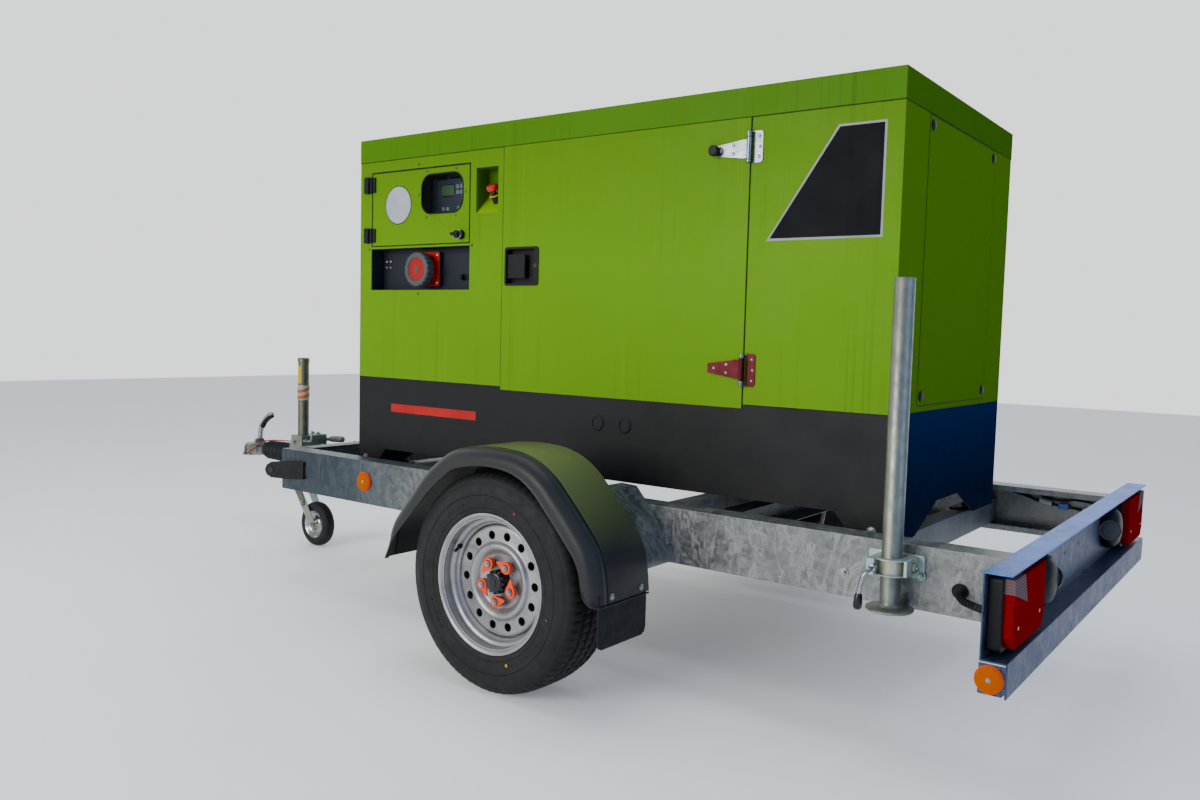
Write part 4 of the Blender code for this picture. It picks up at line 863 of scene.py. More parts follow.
for s, side in ((-1, "left"), (1, "right")):
    # painted shade: thin dark strips along the door edges, the roof seam and the base seam stand in for the shadow in
    # the panel gaps
    y0, y1 = sorted((s * 0.4751, s * 0.4768))
    bms = [box_bm(-0.4264, -0.4236, y0, y1, 0.8135, 1.6020), box_bm(0.4986, 0.5008, y0, y1, 0.8135, 1.6020)]
    y0, y1 = sorted((s * 0.4746, s * 0.4754))
    bms += [box_bm(-1.1556, 0.9336, y0, y1, 1.6012, 1.6034)]
    y0, y1 = sorted((s * 0.4742, s * 0.4752))
    bms += [box_bm(-1.1550, -0.4240, y0, y1, 0.8120, 0.8138), box_bm(0.5005, 0.9330, y0, y1, 0.8120, 0.8138)]
    out(bms, "seam_lines_" + side, GASKET_AND_SEAM_SHADE, "chassis")
    # latch surround, pocket liner and key cylinder, on the door
    body = "door_" + side
    o = rrect(-0.3370, 1.2105, 0.0740, 0.0630, 0.010)
    i = rrect(-0.3370, 1.2105, 0.0665, 0.0555, 0.006)
    y0, y1 = sorted((s * 0.4786, s * 0.4815))
    pcs = [ring_bm(o, i, "Y", y0, y1)]
    y0, y1 = sorted((s * 0.4574, s * 0.4790))
    pcs += [ring_bm(rrect(-0.3370, 1.2105, 0.0685, 0.0572, 0.004), rrect(-0.3370, 1.2105, 0.0668, 0.0555, 0.0035), "Y", y0, y1)]
    y0, y1 = sorted((s * 0.4568, s * 0.4580))
    pcs += [box_bm(-0.4050, -0.2690, y0, y1, 1.1545, 1.2665)]
    # mid bridge beside the paddle
    y0, y1 = sorted((s * 0.4600, s * 0.4775))
    pcs += [box_bm(-0.2860, -0.2700, y0, y1, 1.1555, 1.2655)]
    out(pcs, "latch_bezel_" + side, BLK, body, 0.0012)
    out([turn([(0, 0), (0, 0.0078), (0.0020, 0.0078), (0.0026, 0.0070), (0.0026, 0.0)], (-0.2785, s * 0.4772, 1.2120), (0, s, 0), 24)], "latch_key_" + side, SCREW_D, body)
    # painted shade: a thin black box stands in for the shadowed keyway
    out([box_bm(-0.2792, -0.2778, min(s * 0.4798, s * 0.4801), max(s * 0.4798, s * 0.4801), 1.2070, 1.2170)], "latch_slot_shade_" + side, BLKG, body)
    # paddle ribs and finger lip
    y0, y1 = sorted((s * 0.4770, s * 0.4782))
    out([box_bm(-0.3920, -0.3310, y0, y1, 1.1745, 1.1765), box_bm(-0.3920, -0.3310, y0, y1, 1.2455, 1.2475), box_bm(-0.3325, -0.3305, y0, y1, 1.1745, 1.2475)], "paddle_rib_" + side, BLKG, "latch_paddle_" + side, 0.0006)

# strap hinge trim: body-side leaf, pin, screws and the knob on the upper strap
for s, side in ((-1, "left"), (1, "right")):
    for nm, zc, h, kz, zl0, zl1 in (("upper", 1.5165, 0.0255, 0.0300, 1.4770, 1.5640), ("lower", 0.9110, 0.0270, 0.0310, 0.8640, 0.9550)):
        y0, y1 = sorted((s * 0.4752, s * 0.4778))
        out([prism_bm([(0.5085, zl0), (0.5320, zl0), (0.5375, zl0 + 0.006), (0.5375, zl1 - 0.006), (0.5320, zl1), (0.5085, zl1)], "Y", y0, y1)], nm + "_leaf_" + side, HINGE if nm == "upper" else PINK, "chassis", 0.0009)
        # knuckles of the leaf above and below the strap's barrel
        kn = []
        for za, zb in ((zl0 + 0.001, zc - kz - 0.0006), (zc + kz + 0.0006, zl1 - 0.001)):
            kn.append(rod((0.500, s * 0.4875, za), (0.500, s * 0.4875, zb), 0.0076, 24))
            y0, y1 = sorted((s * 0.4756, s * 0.4800))
            kn.append(box_bm(0.5045, 0.5100, y0, y1, za, zb))
        out(kn, nm + "_knuckle_" + side, HINGE, "chassis", 0.0005)
        if s > 0:
            st = [(0.3870, zc - 0.013), (0.3870, zc + 0.013), (0.4060, zc + 0.016), (0.4780, zc + h), (0.4920, zc + h), (0.4920, zc - h), (0.4780, zc - h), (0.4060, zc - 0.016)]
            out([prism_bm(st, "Y", 0.4788, 0.4830), rod((0.500, 0.4875, zc - kz), (0.500, 0.4875, zc + kz), 0.0076, 24)], nm + "_strap_right", HINGE, "door_right", 0.0012)
        sc = []
        for x, z in ((0.4080, zc), (0.4480, zc + 0.0115), (0.4480, zc - 0.0115)):
            sc += hexbolt((x, s * 0.4830, z), (0, s, 0), 0.0048, 0.0028, dome=True)
        out(sc, nm + "_screws_" + side, SCREW, "door_" + side)
        sc = []
        for z in (zl0 + 0.016, (zl0 + zl1) / 2, zl1 - 0.016):
            sc += hexbolt((0.5265 if abs(z - (zl0 + zl1) / 2) > 0.01 else 0.5290, s * 0.4778, z), (0, s, 0), 0.0046, 0.0028, dome=True)
        out(sc, nm + "_leaf_screws_" + side, SCREW, "chassis")
out(turn([(0, 0), (0, 0.0060), (0.0080, 0.0060), (0.0095, 0.0130), (0.0120, 0.0155), (0.0190, 0.0155), (0.0225, 0.0125), (0.0235, 0.0)], (0.3930, -0.4830, 1.5165), (0, -1, 0), 28), "hinge_knob", BLK, "door_left")

# rear and front end panels: access panel, plugs
for sx, xf, nm in ((1, 0.9335, "rear"), (-1, -1.1555, "front")):
    x0, x1 = sorted((xf, xf + sx * 0.0010))
    out([prism_bm(rrect(0.0, 1.2145, 0.2980, 0.3840, 0.004), "X", x0, x1)], nm + "_access_panel", LIME, "chassis", 0.0004)
    # painted shade: dark strips round the access panel and along the roof and base seams stand in for the shadow in the
    # gaps
    ring = ring_bm(rrect(0.0, 1.2145, 0.3000, 0.3860, 0.005), rrect(0.0, 1.2145, 0.2982, 0.3842, 0.004), "X", *sorted((xf, xf + sx * 0.0007)))
    y_edge = [box_bm(*sorted((xf - sx * 0.0002, xf + sx * 0.0006)), -0.4740, 0.4740, 1.6012, 1.6034), box_bm(*sorted((xf - sx * 0.0008, xf + sx * 0.0003)), -0.4740, 0.4740, 0.8120, 0.8138)]
    out([ring] + y_edge, nm + "_end_seams", GASKET_AND_SEAM_SHADE, "chassis")
    pl = []
    for yy in (-0.276, 0.276):
        for zz in (0.8560, 1.5740):
            pl.append(turn([(0, 0), (0, 0.0150), (0.0015, 0.0150), (0.0045, 0.0125), (0.0060, 0.0070), (0.0062, 0.0)], (xf + sx * 0.0010, yy, zz), (sx, 0, 0), 24))
    out(pl, nm + "_panel_plugs", BLK, "chassis")

# small screws on the control end of the near side
sc = []
for x, z in ((-0.837, 1.5765), (-0.569, 1.285), (-0.836, 1.122), (-1.103, 1.285)):
    sc += hexbolt((x, -0.4750, z), (0, -1, 0), 0.0042, 0.0022, dome=True)
out(sc, "control_end_screws", BLKG, "chassis")

# ===================================================================== control door and what is behind it
o = rrect(-0.7190, 1.4695, 0.1055, 0.0705, 0.0480, 8)
i = rrect(-0.7190, 1.4695, 0.1005, 0.0655, 0.0435, 8)
out(ring_bm(o, i, "Y", -0.4770, -0.4748), "window_gasket", GASKET_AND_SEAM_SHADE, "control_door", 0.0006)
out(prism_bm(rrect(-0.7190, 1.4695, 0.1010, 0.0660, 0.0440, 8), "Y", -0.4742, -0.4727), "window_pane", CLEAR, "control_door")
sc = []
for x, z in ((-0.7960, 1.5500), (-0.6500, 1.5500), (-0.7960, 1.3890), (-0.6500, 1.3890), (-0.6020, 1.4670), (-0.8360, 1.4700)):
    sc += hexbolt((x, -0.4750, z), (0, -1, 0), 0.0036, 0.0020, dome=True)
out(sc, "window_screws", SCREW_D, "control_door")
# two black moulded hinges
for nm, z0, z1 in (("top", 1.488, 1.548), ("bottom", 1.307, 1.362)):
    zc, hz = (z0 + z1) / 2, (z1 - z0) / 2
    out([prism_bm(rrect(-1.1105, zc, 0.0118, hz, 0.004), "Y", -0.4870, -0.4752), box_bm(-1.0995, -1.0905, -0.4812, -0.4752, z0 + 0.001, z1 - 0.001), rod((-1.0905, -0.4780, z0 + 0.001), (-1.0905, -0.4780, z1 - 0.001), 0.0044, 20)], "cdoor_hinge_body_" + nm, BLK, "chassis", 0.0014, 3)
    out([prism_bm(rrect(-1.0745, zc, 0.0072, hz * 0.92, 0.002), "Y", -0.4808, -0.4752)], "cdoor_hinge_leaf_" + nm, BLK, "control_door", 0.0016, 3)
    out([box_bm(-1.1175, -1.1035, -0.4878, -0.4868, zc - 0.013, zc - 0.004), box_bm(-1.1175, -1.1035, -0.4878, -0.4868, zc + 0.004, zc + 0.013)], "cdoor_hinge_caps_" + nm, BLKG, "chassis", 0.0003)
# blank round sticker with a thin dark rim
out(turn([(0, 0), (0, 0.0690), (0.0004, 0.0690), (0.0005, 0.0)], (-0.9450, -0.4750, 1.4400), (0, -1, 0), 64), "round_sticker_edge", NAVY, "control_door")
out(turn([(0, 0), (0, 0.0660), (0.0003, 0.0660), (0.0004, 0.0)], (-0.9450, -0.4755, 1.4400), (0, -1, 0), 64), "round_sticker", WHITE, "control_door")
# lock: bezel and wing
out(turn([(0, 0), (0, 0.0165), (0.0025, 0.0165), (0.0035, 0.0140), (0.0035, 0.0)], (-0.6210, -0.4751, 1.3230), (0, -1, 0), 28), "lock_bezel", BLK, "control_door")
out([turn([(0, 0), (0, 0.0100), (0.0130, 0.0100), (0.0140, 0.0155), (0.0180, 0.0160), (0.0190, 0.0150), (0.0190, 0.0)], (-0.6210, -0.4760, 1.3230), (0, -1, 0), 32)], "lock_base", CHROME, "door_lock_knob", slot="bright_steel", rep="door_lock_knob")
out([turn([(0, 0), (0, 0.0130), (0.0060, 0.0135), (0.0100, 0.0115), (0.0110, 0.0)], (-0.6210, -0.4950, 1.3230), (0, -1, 0), 28), prism_bm(rrect(-0.6210, 1.3230, 0.0155, 0.0052, 0.003), "Y", -0.5150, -0.5040)], "lock_wing", BLKG, "door_lock_knob", 0.0012, 3)
# controller face: bezel, display, keys
fy = -0.4120
out([ring_bm(rrect(-0.7215, 1.4560, 0.1165, 0.0780, 0.008), rrect(-0.7215, 1.4560, 0.1095, 0.0710, 0.005), "Y", fy - 0.0060, fy - 0.0002)], "controller_bezel", BLKG, "chassis", 0.0012)
out([box_bm(-0.8300, -0.6120, fy - 0.0030, fy - 0.0002, 1.3850, 1.5270)], "controller_face", PANEL, "chassis")
out([box_bm(-0.7860, -0.7220, fy - 0.0044, fy - 0.0028, 1.4700, 1.5060)], "controller_display", LCD, "chassis", 0.0008)
out([ring_bm(rrect(-0.7540, 1.4880, 0.0360, 0.0220, 0.003), rrect(-0.7540, 1.4880, 0.0322, 0.0182, 0.002), "Y", fy - 0.0050, fy - 0.0028)], "display_rim", BLKG, "chassis", 0.0005)
keys = []
for x in (-0.703, -0.684):
    for z in (1.5000, 1.4800):
        keys.append(prism_bm(rrect(x, z, 0.0065, 0.0065, 0.002, 3), "Y", fy - 0.0052, fy - 0.0028))
for x in (-0.7750, -0.7530):
    for z in (1.4240, 1.4050):
        keys.append(prism_bm(rrect(x, z, 0.0065, 0.0065, 0.002, 3), "Y", fy - 0.0052, fy - 0.0028))
for z in (1.4240, 1.4050):
    keys.append(prism_bm(rrect(-0.6980, z, 0.0065, 0.0065, 0.002, 3), "Y", fy - 0.0052, fy - 0.0028))
out(keys, "controller_keys", EDGE, "chassis", 0.0006)
# rim of the control door opening, in a darker copy of the lime coat: painted shade inside the opening
out([ring_bm(rrect(-0.8355, 1.4280, 0.2530, 0.1335, 0.001, 2), rrect(-0.8355, 1.4280, 0.2500, 0.1305, 0.001, 2), "Y", -0.4720, -0.4560)], "control_opening_rim", LIME_IN_SHADE, "chassis")
# painted shade: dark strips round the control door stand in for the shadow in its gap
out([box_bm(-1.0885, -0.5800, -0.4756, -0.4746, 1.5590, 1.5640), box_bm(-0.5850, -0.5800, -0.4756, -0.4746, 1.2940, 1.5600), box_bm(-1.0905, -1.0872, -0.4756, -0.4746, 1.2940, 1.5640),
     box_bm(-1.0885, -0.5800, -0.4756, -0.4746, 1.2930, 1.2958)], "control_door_gap", GASKET_AND_SEAM_SHADE, "chassis")

# ===================================================================== socket
SKX, SKZ = -0.836, 1.208
out([prism_bm(rrect(SKX, 1.212, 0.0640, 0.0610, 0.010), "Y", -0.4345, -0.4322)], "socket_flange", REDP, "chassis", 0.0012, 3)
sc = []
for x, z in ((SKX - 0.052, 1.163), (SKX + 0.052, 1.163), (SKX - 0.052, 1.261), (SKX + 0.052, 1.261)):
    sc += hexbolt((x, -0.4345, z), (0, -1, 0), 0.0055, 0.0030, dome=True)
out(sc, "socket_flange_screws", SCREW, "chassis")
out([turn([(0, 0), (0, 0.0480), (0.004, 0.0490), (0.0160, 0.0490), (0.0195, 0.0470), (0.0195, 0.0)], (SKX, -0.4345, SKZ), (0, -1, 0), 48)], "socket_barrel", REDP, "chassis")
# screw cap: grey knurled ring with a red middle
def knurl(i, t):
    return -0.0030 if (t / (2 * math.pi) * 20) % 1.0 < 0.28 and i in (1, 2, 3, 4, 5) else 0.0
out([lathe_bm([(-0.4553, 0.0400), (-0.4553, 0.0590), (-0.4570, 0.0615), (-0.4720, 0.0618), (-0.4835, 0.0610), (-0.4870, 0.0575), (-0.4884, 0.0500), (-0.4878, 0.0430), (-0.4850, 0.0400)], (SKX, 0, SKZ), "Y", 208, 0.0, knurl)],
    "socket_cap_ring", GREYP, "socket_cap", slot="red_plastic", angle=30, rep="socket_cap")
out([lathe_bm([(-0.4556, 0.0), (-0.4556, 0.0402), (-0.4832, 0.0402), (-0.4846, 0.0385), (-0.4846, 0.0300), (-0.4834, 0.0285), (-0.4834, 0.0)], (SKX, 0, SKZ), "Y", 64)], "socket_cap_disc", REDP, "socket_cap")
out([prism_bm([(SKX - 0.010, SKZ - 0.012), (SKX - 0.004, SKZ - 0.014), (SKX + 0.010, SKZ - 0.010), (SKX + 0.008, SKZ + 0.010), (SKX - 0.008, SKZ + 0.012)], "Y", -0.4842, -0.4832)], "cap_mark", GREYP, "socket_cap", 0.0003)
# hinge lug of the cap
out([rod((-0.9015, -0.4545, SKZ - 0.014), (-0.9015, -0.4545, SKZ + 0.014), 0.0042, 16)], "cap_pin", SCREW, "chassis")
out([box_bm(-0.9010, -0.8930, -0.4660, -0.4560, SKZ - 0.009, SKZ + 0.009)], "cap_lug", REDP, "socket_cap", 0.0015)
# studs and a small fitting on the back plate
sc = []
for x in (-1.0760, -1.0540):
    for z in (1.2440, 1.2220):
        sc += hexbolt((x, -0.4150, z), (0, -1, 0), 0.0052, 0.0040, dome=True)
out(sc, "recess_studs", SCREW, "chassis")
out([turn([(0, 0), (0, 0.0130), (0.006, 0.0130), (0.007, 0.0100), (0.018, 0.0092), (0.020, 0.0070), (0.020, 0.0)], (-0.6650, -0.4150, 1.1820), (0, -1, 0), 6),
     box_bm(-0.6560, -0.6240, -0.4200, -0.4150, 1.1745, 1.1895)], "recess_earth_stud", BLK, "chassis", 0.0012)
# painted shade: a thin dark line round the socket recess
frame_line("recess_edge", -1.0910, -0.5810, 1.1360, 1.2850, 0.0014, -1, 0.4742, t=0.0006)

# ===================================================================== stop button
SB = Vector((-0.4945, -0.4470, 1.4580))
SN = Vector((0, -0.50, 0.866)).normalized()
out([turn([(0, 0), (0, 0.0062), (0.0270, 0.0062), (0.0270, 0.0)], SB - SN * 0.008, SN, 24)], "stop_stem", BLKG, "stop_button")
out([turn([(-0.0020, 0.0), (-0.0020, 0.0120), (0.0, 0.0178), (0.0035, 0.0208), (0.0110, 0.0212), (0.0160, 0.0198), (0.0190, 0.0160), (0.0204, 0.0100), (0.0208, 0.0)], SB + SN * 0.0120, SN, 44)],
    "stop_mushroom", REDB, "stop_button", slot="red_plastic", rep="stop_button")
out([turn([(-0.0290, 0.0), (-0.0290, 0.0150), (-0.0020, 0.0150), (0.0005, 0.0120), (0.0005, 0.0075), (-0.0290, 0.0075)], SB - SN * 0.0020, SN, 36)], "stop_socket", BLK, "chassis")
out([turn([(0, 0.0125), (0, 0.0212), (0.0022, 0.0212), (0.0034, 0.0195), (0.0034, 0.0125)], SB - SN * 0.0062, SN, 44)], "stop_collar", YEL, "chassis")

# ===================================================================== base trim
pl = []
for x in (-0.011, 0.094):
    pl += [(x)]
out([turn([(0, 0), (0, 0.0245), (0.0012, 0.0245), (0.0032, 0.0225), (0.0040, 0.0200), (0.0036, 0.0185), (0.0012, 0.0175), (0.0010, 0.0)], (x, -0.4745, 0.722), (0, -1, 0), 48) for x in (-0.011, 0.094)], "base_plugs_left", RUB, "chassis")
out([turn([(0, 0), (0, 0.0245), (0.0012, 0.0245), (0.0032, 0.0225), (0.0040, 0.0200), (0.0036, 0.0185), (0.0012, 0.0175), (0.0010, 0.0)], (x, 0.4745, 0.722), (0, 1, 0), 48) for x in (-0.011, 0.094)], "base_plugs_right", RUB, "chassis")
sc = []
for s in (-1, 1):
    for x, z in ((-1.115, 0.510), (0.893, 0.510)):
        sc += hexbolt((x, s * 0.4745, z), (0, s, 0), 0.0085, 0.0055, 0.0125)
out(sc, "base_foot_bolts", SCREW, "chassis")
out([box_bm(-0.9730, -0.5390, -0.4750, -0.4746, 0.6900, 0.7200)], "base_red_stripe", REDS, "chassis")
# dark plain sticker on the rear side panel, with a pale edge
T = [(0.5560, 1.2640), (0.8870, 1.2640), (0.8870, 1.5570), (0.7560, 1.5570)]
Ti = [(0.5660, 1.2700), (0.8810, 1.2700), (0.8810, 1.5510), (0.7595, 1.5510)]
out(prism_bm(T, "Y", -0.4753, -0.4750), "sticker_edge", EDGE, "chassis")
out(prism_bm(Ti, "Y", -0.4757, -0.4753), "sticker_film", NAVY, "chassis")

# ===================================================================== chassis trim
def reflector(name, p, axis, r, body="chassis"):
    p, a = Vector(p), Vector(axis)
    out([turn([(0, 0), (0, r), (0.0040, r), (0.0055, r * 0.96), (0.0055, 0.0)], p, a, 48)], name + "_base", BLK if r < 0.02 else ORA, body)
    out([turn([(0, 0), (0, r * 0.93), (0.0025, r * 0.93), (0.0040, r * 0.86), (0.0043, r * 0.3), (0.0035, 0.0)], p + a * 0.0050, a, 48)], name + "_lens", AMB, body)
    out(hexbolt(p + a * 0.0085, a, r * 0.11, 0.0020, r * 0.17, 0.0008, dome=True), name + "_screw", SCREW, body)


reflector("front_reflector_left", (-0.941, -0.6200, 0.450), (0, -1, 0), 0.0345)
reflector("front_reflector_right", (-0.941, 0.6200, 0.450), (0, 1, 0), 0.0345)
reflector("end_reflector_left", (1.3060, -0.8440, 0.3190), (0, -1, 0), 0.0300)
reflector("end_reflector_right", (1.3060, 0.8440, 0.3190), (0, 1, 0), 0.0300)
for s, side in ((-1, "left"), (1, "right")):
    y0, y1 = sorted((s * 0.8402, s * 0.8442))
    # end tabs share the bar's painted shade and painted sky reflection
    out(prism_bm([(1.2830, 0.3500), (1.3360, 0.3500), (1.3395, 0.3450), (1.3395, 0.2960), (1.3310, 0.2860), (1.2830, 0.2860)], "Y", y0, y1), "end_tab_" + side, GALV_BAR_SKY_SHADE, "chassis", 0.001)
    # front marker arm: black rubber arm reaching outwards
    bm = bmesh.new()
    prof = [(0.0, -0.034), (0.0, 0.034), (0.055, 0.036), (0.118, 0.030), (0.136, 0.018), (0.142, 0.0), (0.136, -0.018), (0.118, -0.030), (0.055, -0.034)]
    a = Vector((-0.120, s * 0.075, 0)).normalized()
    nn = Vector((a.y, -a.x, 0)) * (1 if s > 0 else -1)
    base = Vector((-1.3080, s * 0.6215, 0.449))
    L0 = [bm.verts.new(base + a * u + Vector((0, 0, w))) for u, w in prof]
    L1 = [bm.verts.new(base + a * u + Vector((0, 0, w)) + nn * -0.014 * (1 if s > 0 else 1)) for u, w in prof]
    bm.faces.new(L0)
    bm.faces.new(L1)
    for k in range(len(prof)):
        j = (k + 1) % len(prof)
        bm.faces.new((L0[k], L0[j], L1[j], L1[k]))
    tip = base + a * 0.118
    arm = [bm, box_bm(-1.345, -1.286, *sorted((s * 0.6203, s * 0.6300)), 0.418, 0.484)]
    out(arm, "marker_arm_" + side, RUB, "chassis", 0.004, 3)
    # painted shade: black gloss pieces stand in for the shadowed inside of the arm's hole and slot
    out([turn([(0, 0), (0, 0.0105), (0.018, 0.0105), (0.0185, 0.0)], tip - nn * 0.016 + nn * (-0.0), nn, 24)], "marker_arm_hole_shade_" + side, BLKG, "chassis")
    out([box_bm(-1.3350, -1.2980, *sorted((s * 0.6298, s * 0.6308)), 0.4500, 0.4535)], "marker_arm_slot_shade_" + side, BLKG, "chassis")
    # bolts that hold the body crossmembers to the rail, and the axle's saddle
    b = []
    for x in (0.885, 0.360):
        b += hexbolt((x, s * 0.6200, 0.428), (0, s, 0), 0.0080, 0.0055, 0.0125)
    out(b, "rail_bolts_" + side, SCREW, "chassis")
    b = []
    for x in (-1.075, 0.905):
        for yy in (0.44, 0.30):
            b += hexbolt((x - 0.02 if x > 0 else x + 0.0, s * yy, 0.4746), (0, 0, 1), 0.0085, 0.006, 0.013)
    out(b, "foot_bolts_" + side, SCREW, "chassis")
    y0, y1 = sorted((s * 0.5450, s * 0.6150))
    out([box_bm(-0.2250, -0.0750, y0, y1, 0.3700, 0.3738)], "axle_saddle_" + side, GALV_D, "chassis", 0.001)
    # weld beads where the crossmember meets the rails
    wl = []
    for z0, z1 in ((0.372, 0.522),):
        pts = [(-1.4305, s * 0.5405, z0 + (z1 - z0) * k / 24 ) for k in range(25)]
        wl.append(sweep_bm(pts, [0.0032 + 0.0007 * math.sin(k * 2.1) for k in range(25)], 8))
    pts = [(-1.4300 + 0.066 * k / 14, s * 0.5405, 0.5242) for k in range(15)]
    wl.append(sweep_bm(pts, [0.0026 + 0.0006 * math.sin(k * 2.3) for k in range(15)], 8))
    out(wl, "corner_weld_" + side, GALV_D, "chassis")

# ===================================================================== lamps
for s, side in ((-1, "left"), (1, "right")):
    # deep black housing
    out([prism_bm(rrect(s * 0.680, 0.446, 0.1350, 0.0820, 0.014, 5), "X", 1.2866, 1.3170)], "lamp_housing_" + side, BLK, "chassis", 0.003, 3, slot="black_plastic", rep="tail_lamp_" + side)
    LN = [(0.806, 0.522), (0.5500, 0.522), (0.5500, 0.398), (0.5740, 0.371), (0.782, 0.371), (0.806, 0.398)]
    wedge = [(0.806, 0.522), (0.700, 0.522), (0.728, 0.4720), (0.806, 0.4600)]
    out([prism_bm([(s * a, b) for a, b in LN], "X", 1.3130, 1.3388)], "lamp_lens_" + side, REDL, "chassis", 0.0035, 3)
    out([prism_bm([(s * a, b) for a, b in [(0.8064, 0.5224), (0.7300, 0.5224), (0.7000, 0.4560), (0.8064, 0.4900)]], "X", 1.3150, 1.3394)], "lamp_wedge_" + side, CLRL, "chassis", 0.0020, 3)
    out([prism_bm([(s * 0.8080, 0.4505), (s * 0.5480, 0.4505), (s * 0.5480, 0.4470), (s * 0.8080, 0.4470)], "X", 1.3360, 1.3392)], "lamp_rib_" + side, REDL, "chassis", 0.0008)
    sc = []
    for yy, zz in ((0.768, 0.4140), (0.590, 0.4140)):
        sc += hexbolt((1.3388, s * yy, zz), (1, 0, 0), 0.0042, 0.0010, dome=True)
    out(sc, "lamp_screws_" + side, SCREW, "chassis")
    # round plate lamp
    yc = s * 0.430
    dome = [(1.2866, 0.0), (1.2866, 0.0620), (1.2950, 0.0640), (1.3080, 0.0630), (1.3200, 0.0580), (1.3290, 0.0480), (1.3340, 0.0330), (1.3355, 0.0150), (1.3358, 0.0)]
    out([lathe_bm([(a, r) for a, r in dome], (0, yc, 0.446), "X", 12, math.pi / 12)], "plate_lamp_" + side, BLK, "chassis", 0.003, 3)
    inn = -s
    out([turn([(0, 0), (0, 0.0260), (0.004, 0.0270), (0.010, 0.0250), (0.013, 0.0180), (0.014, 0.0)], (1.3120, yc + inn * 0.0490, 0.446), (0.35, inn * 0.94, 0), 32)], "plate_lamp_lens_" + side, SMOKE, "chassis")
    out([turn([(0, 0.0262), (0, 0.0310), (0.006, 0.0310), (0.006, 0.0262)], (1.3120, yc + inn * 0.0505, 0.446), (0.35, inn * 0.94, 0), 32)], "plate_lamp_ring_" + side, BLKG, "chassis")
holes = []
for y in (-0.104, 0.065):
    holes.append(turn([(0, 0), (0, 0.0055), (0.0004, 0.0055), (0.0004, 0)], (1.2862, y, 0.4530), (1, 0, 0), 20))
    holes.append(turn([(0, 0), (0, 0.0055), (0.0004, 0.0055), (0.0004, 0)], (1.2822, y, 0.4530), (-1, 0, 0), 20))
out(holes, "bar_holes", CLRL, "chassis")

# corrugated conduit from the rail grommet to the lamp bar
route = path([(1.1715, -0.6250, 0.432), (1.1770, -0.641, 0.425), (1.190, -0.653, 0.419), (1.215, -0.668, 0.417), (1.245, -0.690, 0.418), (1.2740, -0.708, 0.4212)], 121)
out([sweep_bm(route, [0.0092 if k % 8 < 4 else 0.0066 for k in range(121)], 16)], "conduit_detail", RUB, "chassis", slot="black_plastic", angle=60, rep="light_conduit")
out([turn([(0, 0), (0, 0.0190), (0.0035, 0.0190), (0.0070, 0.0150), (0.0120, 0.0120), (0.0150, 0.0110), (0.0150, 0.0)], (1.1715, -0.6202, 0.432), (0, -1, -0.12), 32)], "rail_grommet", RUB, "chassis")
out([turn([(0, 0), (0, 0.0110), (0.0100, 0.0110), (0.0120, 0.0095), (0.0120, 0.0)], (1.2690, -0.7045, 0.4208), (0.86, -0.50, 0.09), 24)], "conduit_gland", RUB, "chassis")
out([turn([(0, 0), (0, 0.0060), (0.0060, 0.0060), (0.0060, 0.0)], (1.2730, -0.6940, 0.4330), (0.86, -0.50, 0.09), 16)], "gland_tag", YEL, "chassis")
# harness clipped inside the far rail
hr = path([(0.955, 0.6100, 0.500), (1.010, 0.6060, 0.488), (1.060, 0.6020, 0.474), (1.120, 0.6010, 0.468), (1.180, 0.6040, 0.462), (1.235, 0.6080, 0.448), (1.2790, 0.6100, 0.440)], 60)
out([sweep_bm(hr, 0.0042, 10)], "harness_main", RUB, "chassis")
hr = path([(0.960, 0.6110, 0.512), (1.040, 0.6050, 0.500), (1.110, 0.6010, 0.486), (1.170, 0.6020, 0.492), (1.230, 0.6060, 0.486), (1.2790, 0.6110, 0.476)], 50)
out([sweep_bm(hr, 0.0034, 10)], "harness_branch", RUB, "chassis")
out([rod((1.055, 0.5990, 0.4800), (1.095, 0.5985, 0.4720), 0.0095, 18), rod((1.190, 0.5995, 0.4640), (1.226, 0.6010, 0.4530), 0.0085, 18)], "harness_joint_white", WHITE, "chassis")
out([box_bm(1.1150, 1.1480, 0.5925, 0.6085, 0.4580, 0.4780)], "harness_joint_blue", plastic("blue_joint_plastic", (0.02, 0.10, 0.42), 0.4), "chassis", 0.003, 3)

# red breakaway cable: from the overrun housing over the coupling to its near side
cb = path([(-2.205, -0.030, 0.438), (-2.260, -0.026, 0.436), (-2.330, -0.022, 0.4315), (-2.400, -0.024, 0.4255), (-2.455, -0.034, 0.416),
           (-2.480, -0.043, 0.398), (-2.505, -0.0425, 0.380), (-2.530, -0.047, 0.366), (-2.550, -0.052, 0.352)], 60)
cord = out([sweep_bm(cb, 0.0028, 14)], "breakaway_cord", CABLE, "coupling", slot="red_plastic", angle=60, rep="breakaway_cable")
cb = [(q[0] + OX, q[1], q[2]) for q in cb]

# ===================================================================== prop stand
PX, PY = 1.027, -0.6765
SW = [(0.3745, 0.0), (0.3745, 0.0540), (0.3765, 0.0560), (0.3800, 0.0560), (0.3812, 0.0545), (0.3830, 0.0330), (0.3850, 0.0285), (0.3900, 0.0250), (0.3940, 0.0241), (1.1465, 0.0241), (1.1480, 0.0232), (1.1480, 0.0214), (1.1470, 0.0209), (0.4000, 0.0209), (0.4000, 0.0)]
out([lathe_bm(SW, (PX, PY, 0), "Z", 64)], "prop_tube_detail", ZINC_G, "prop_stand", slot="zinc_plate", angle=40, rep="prop_stand_tube")
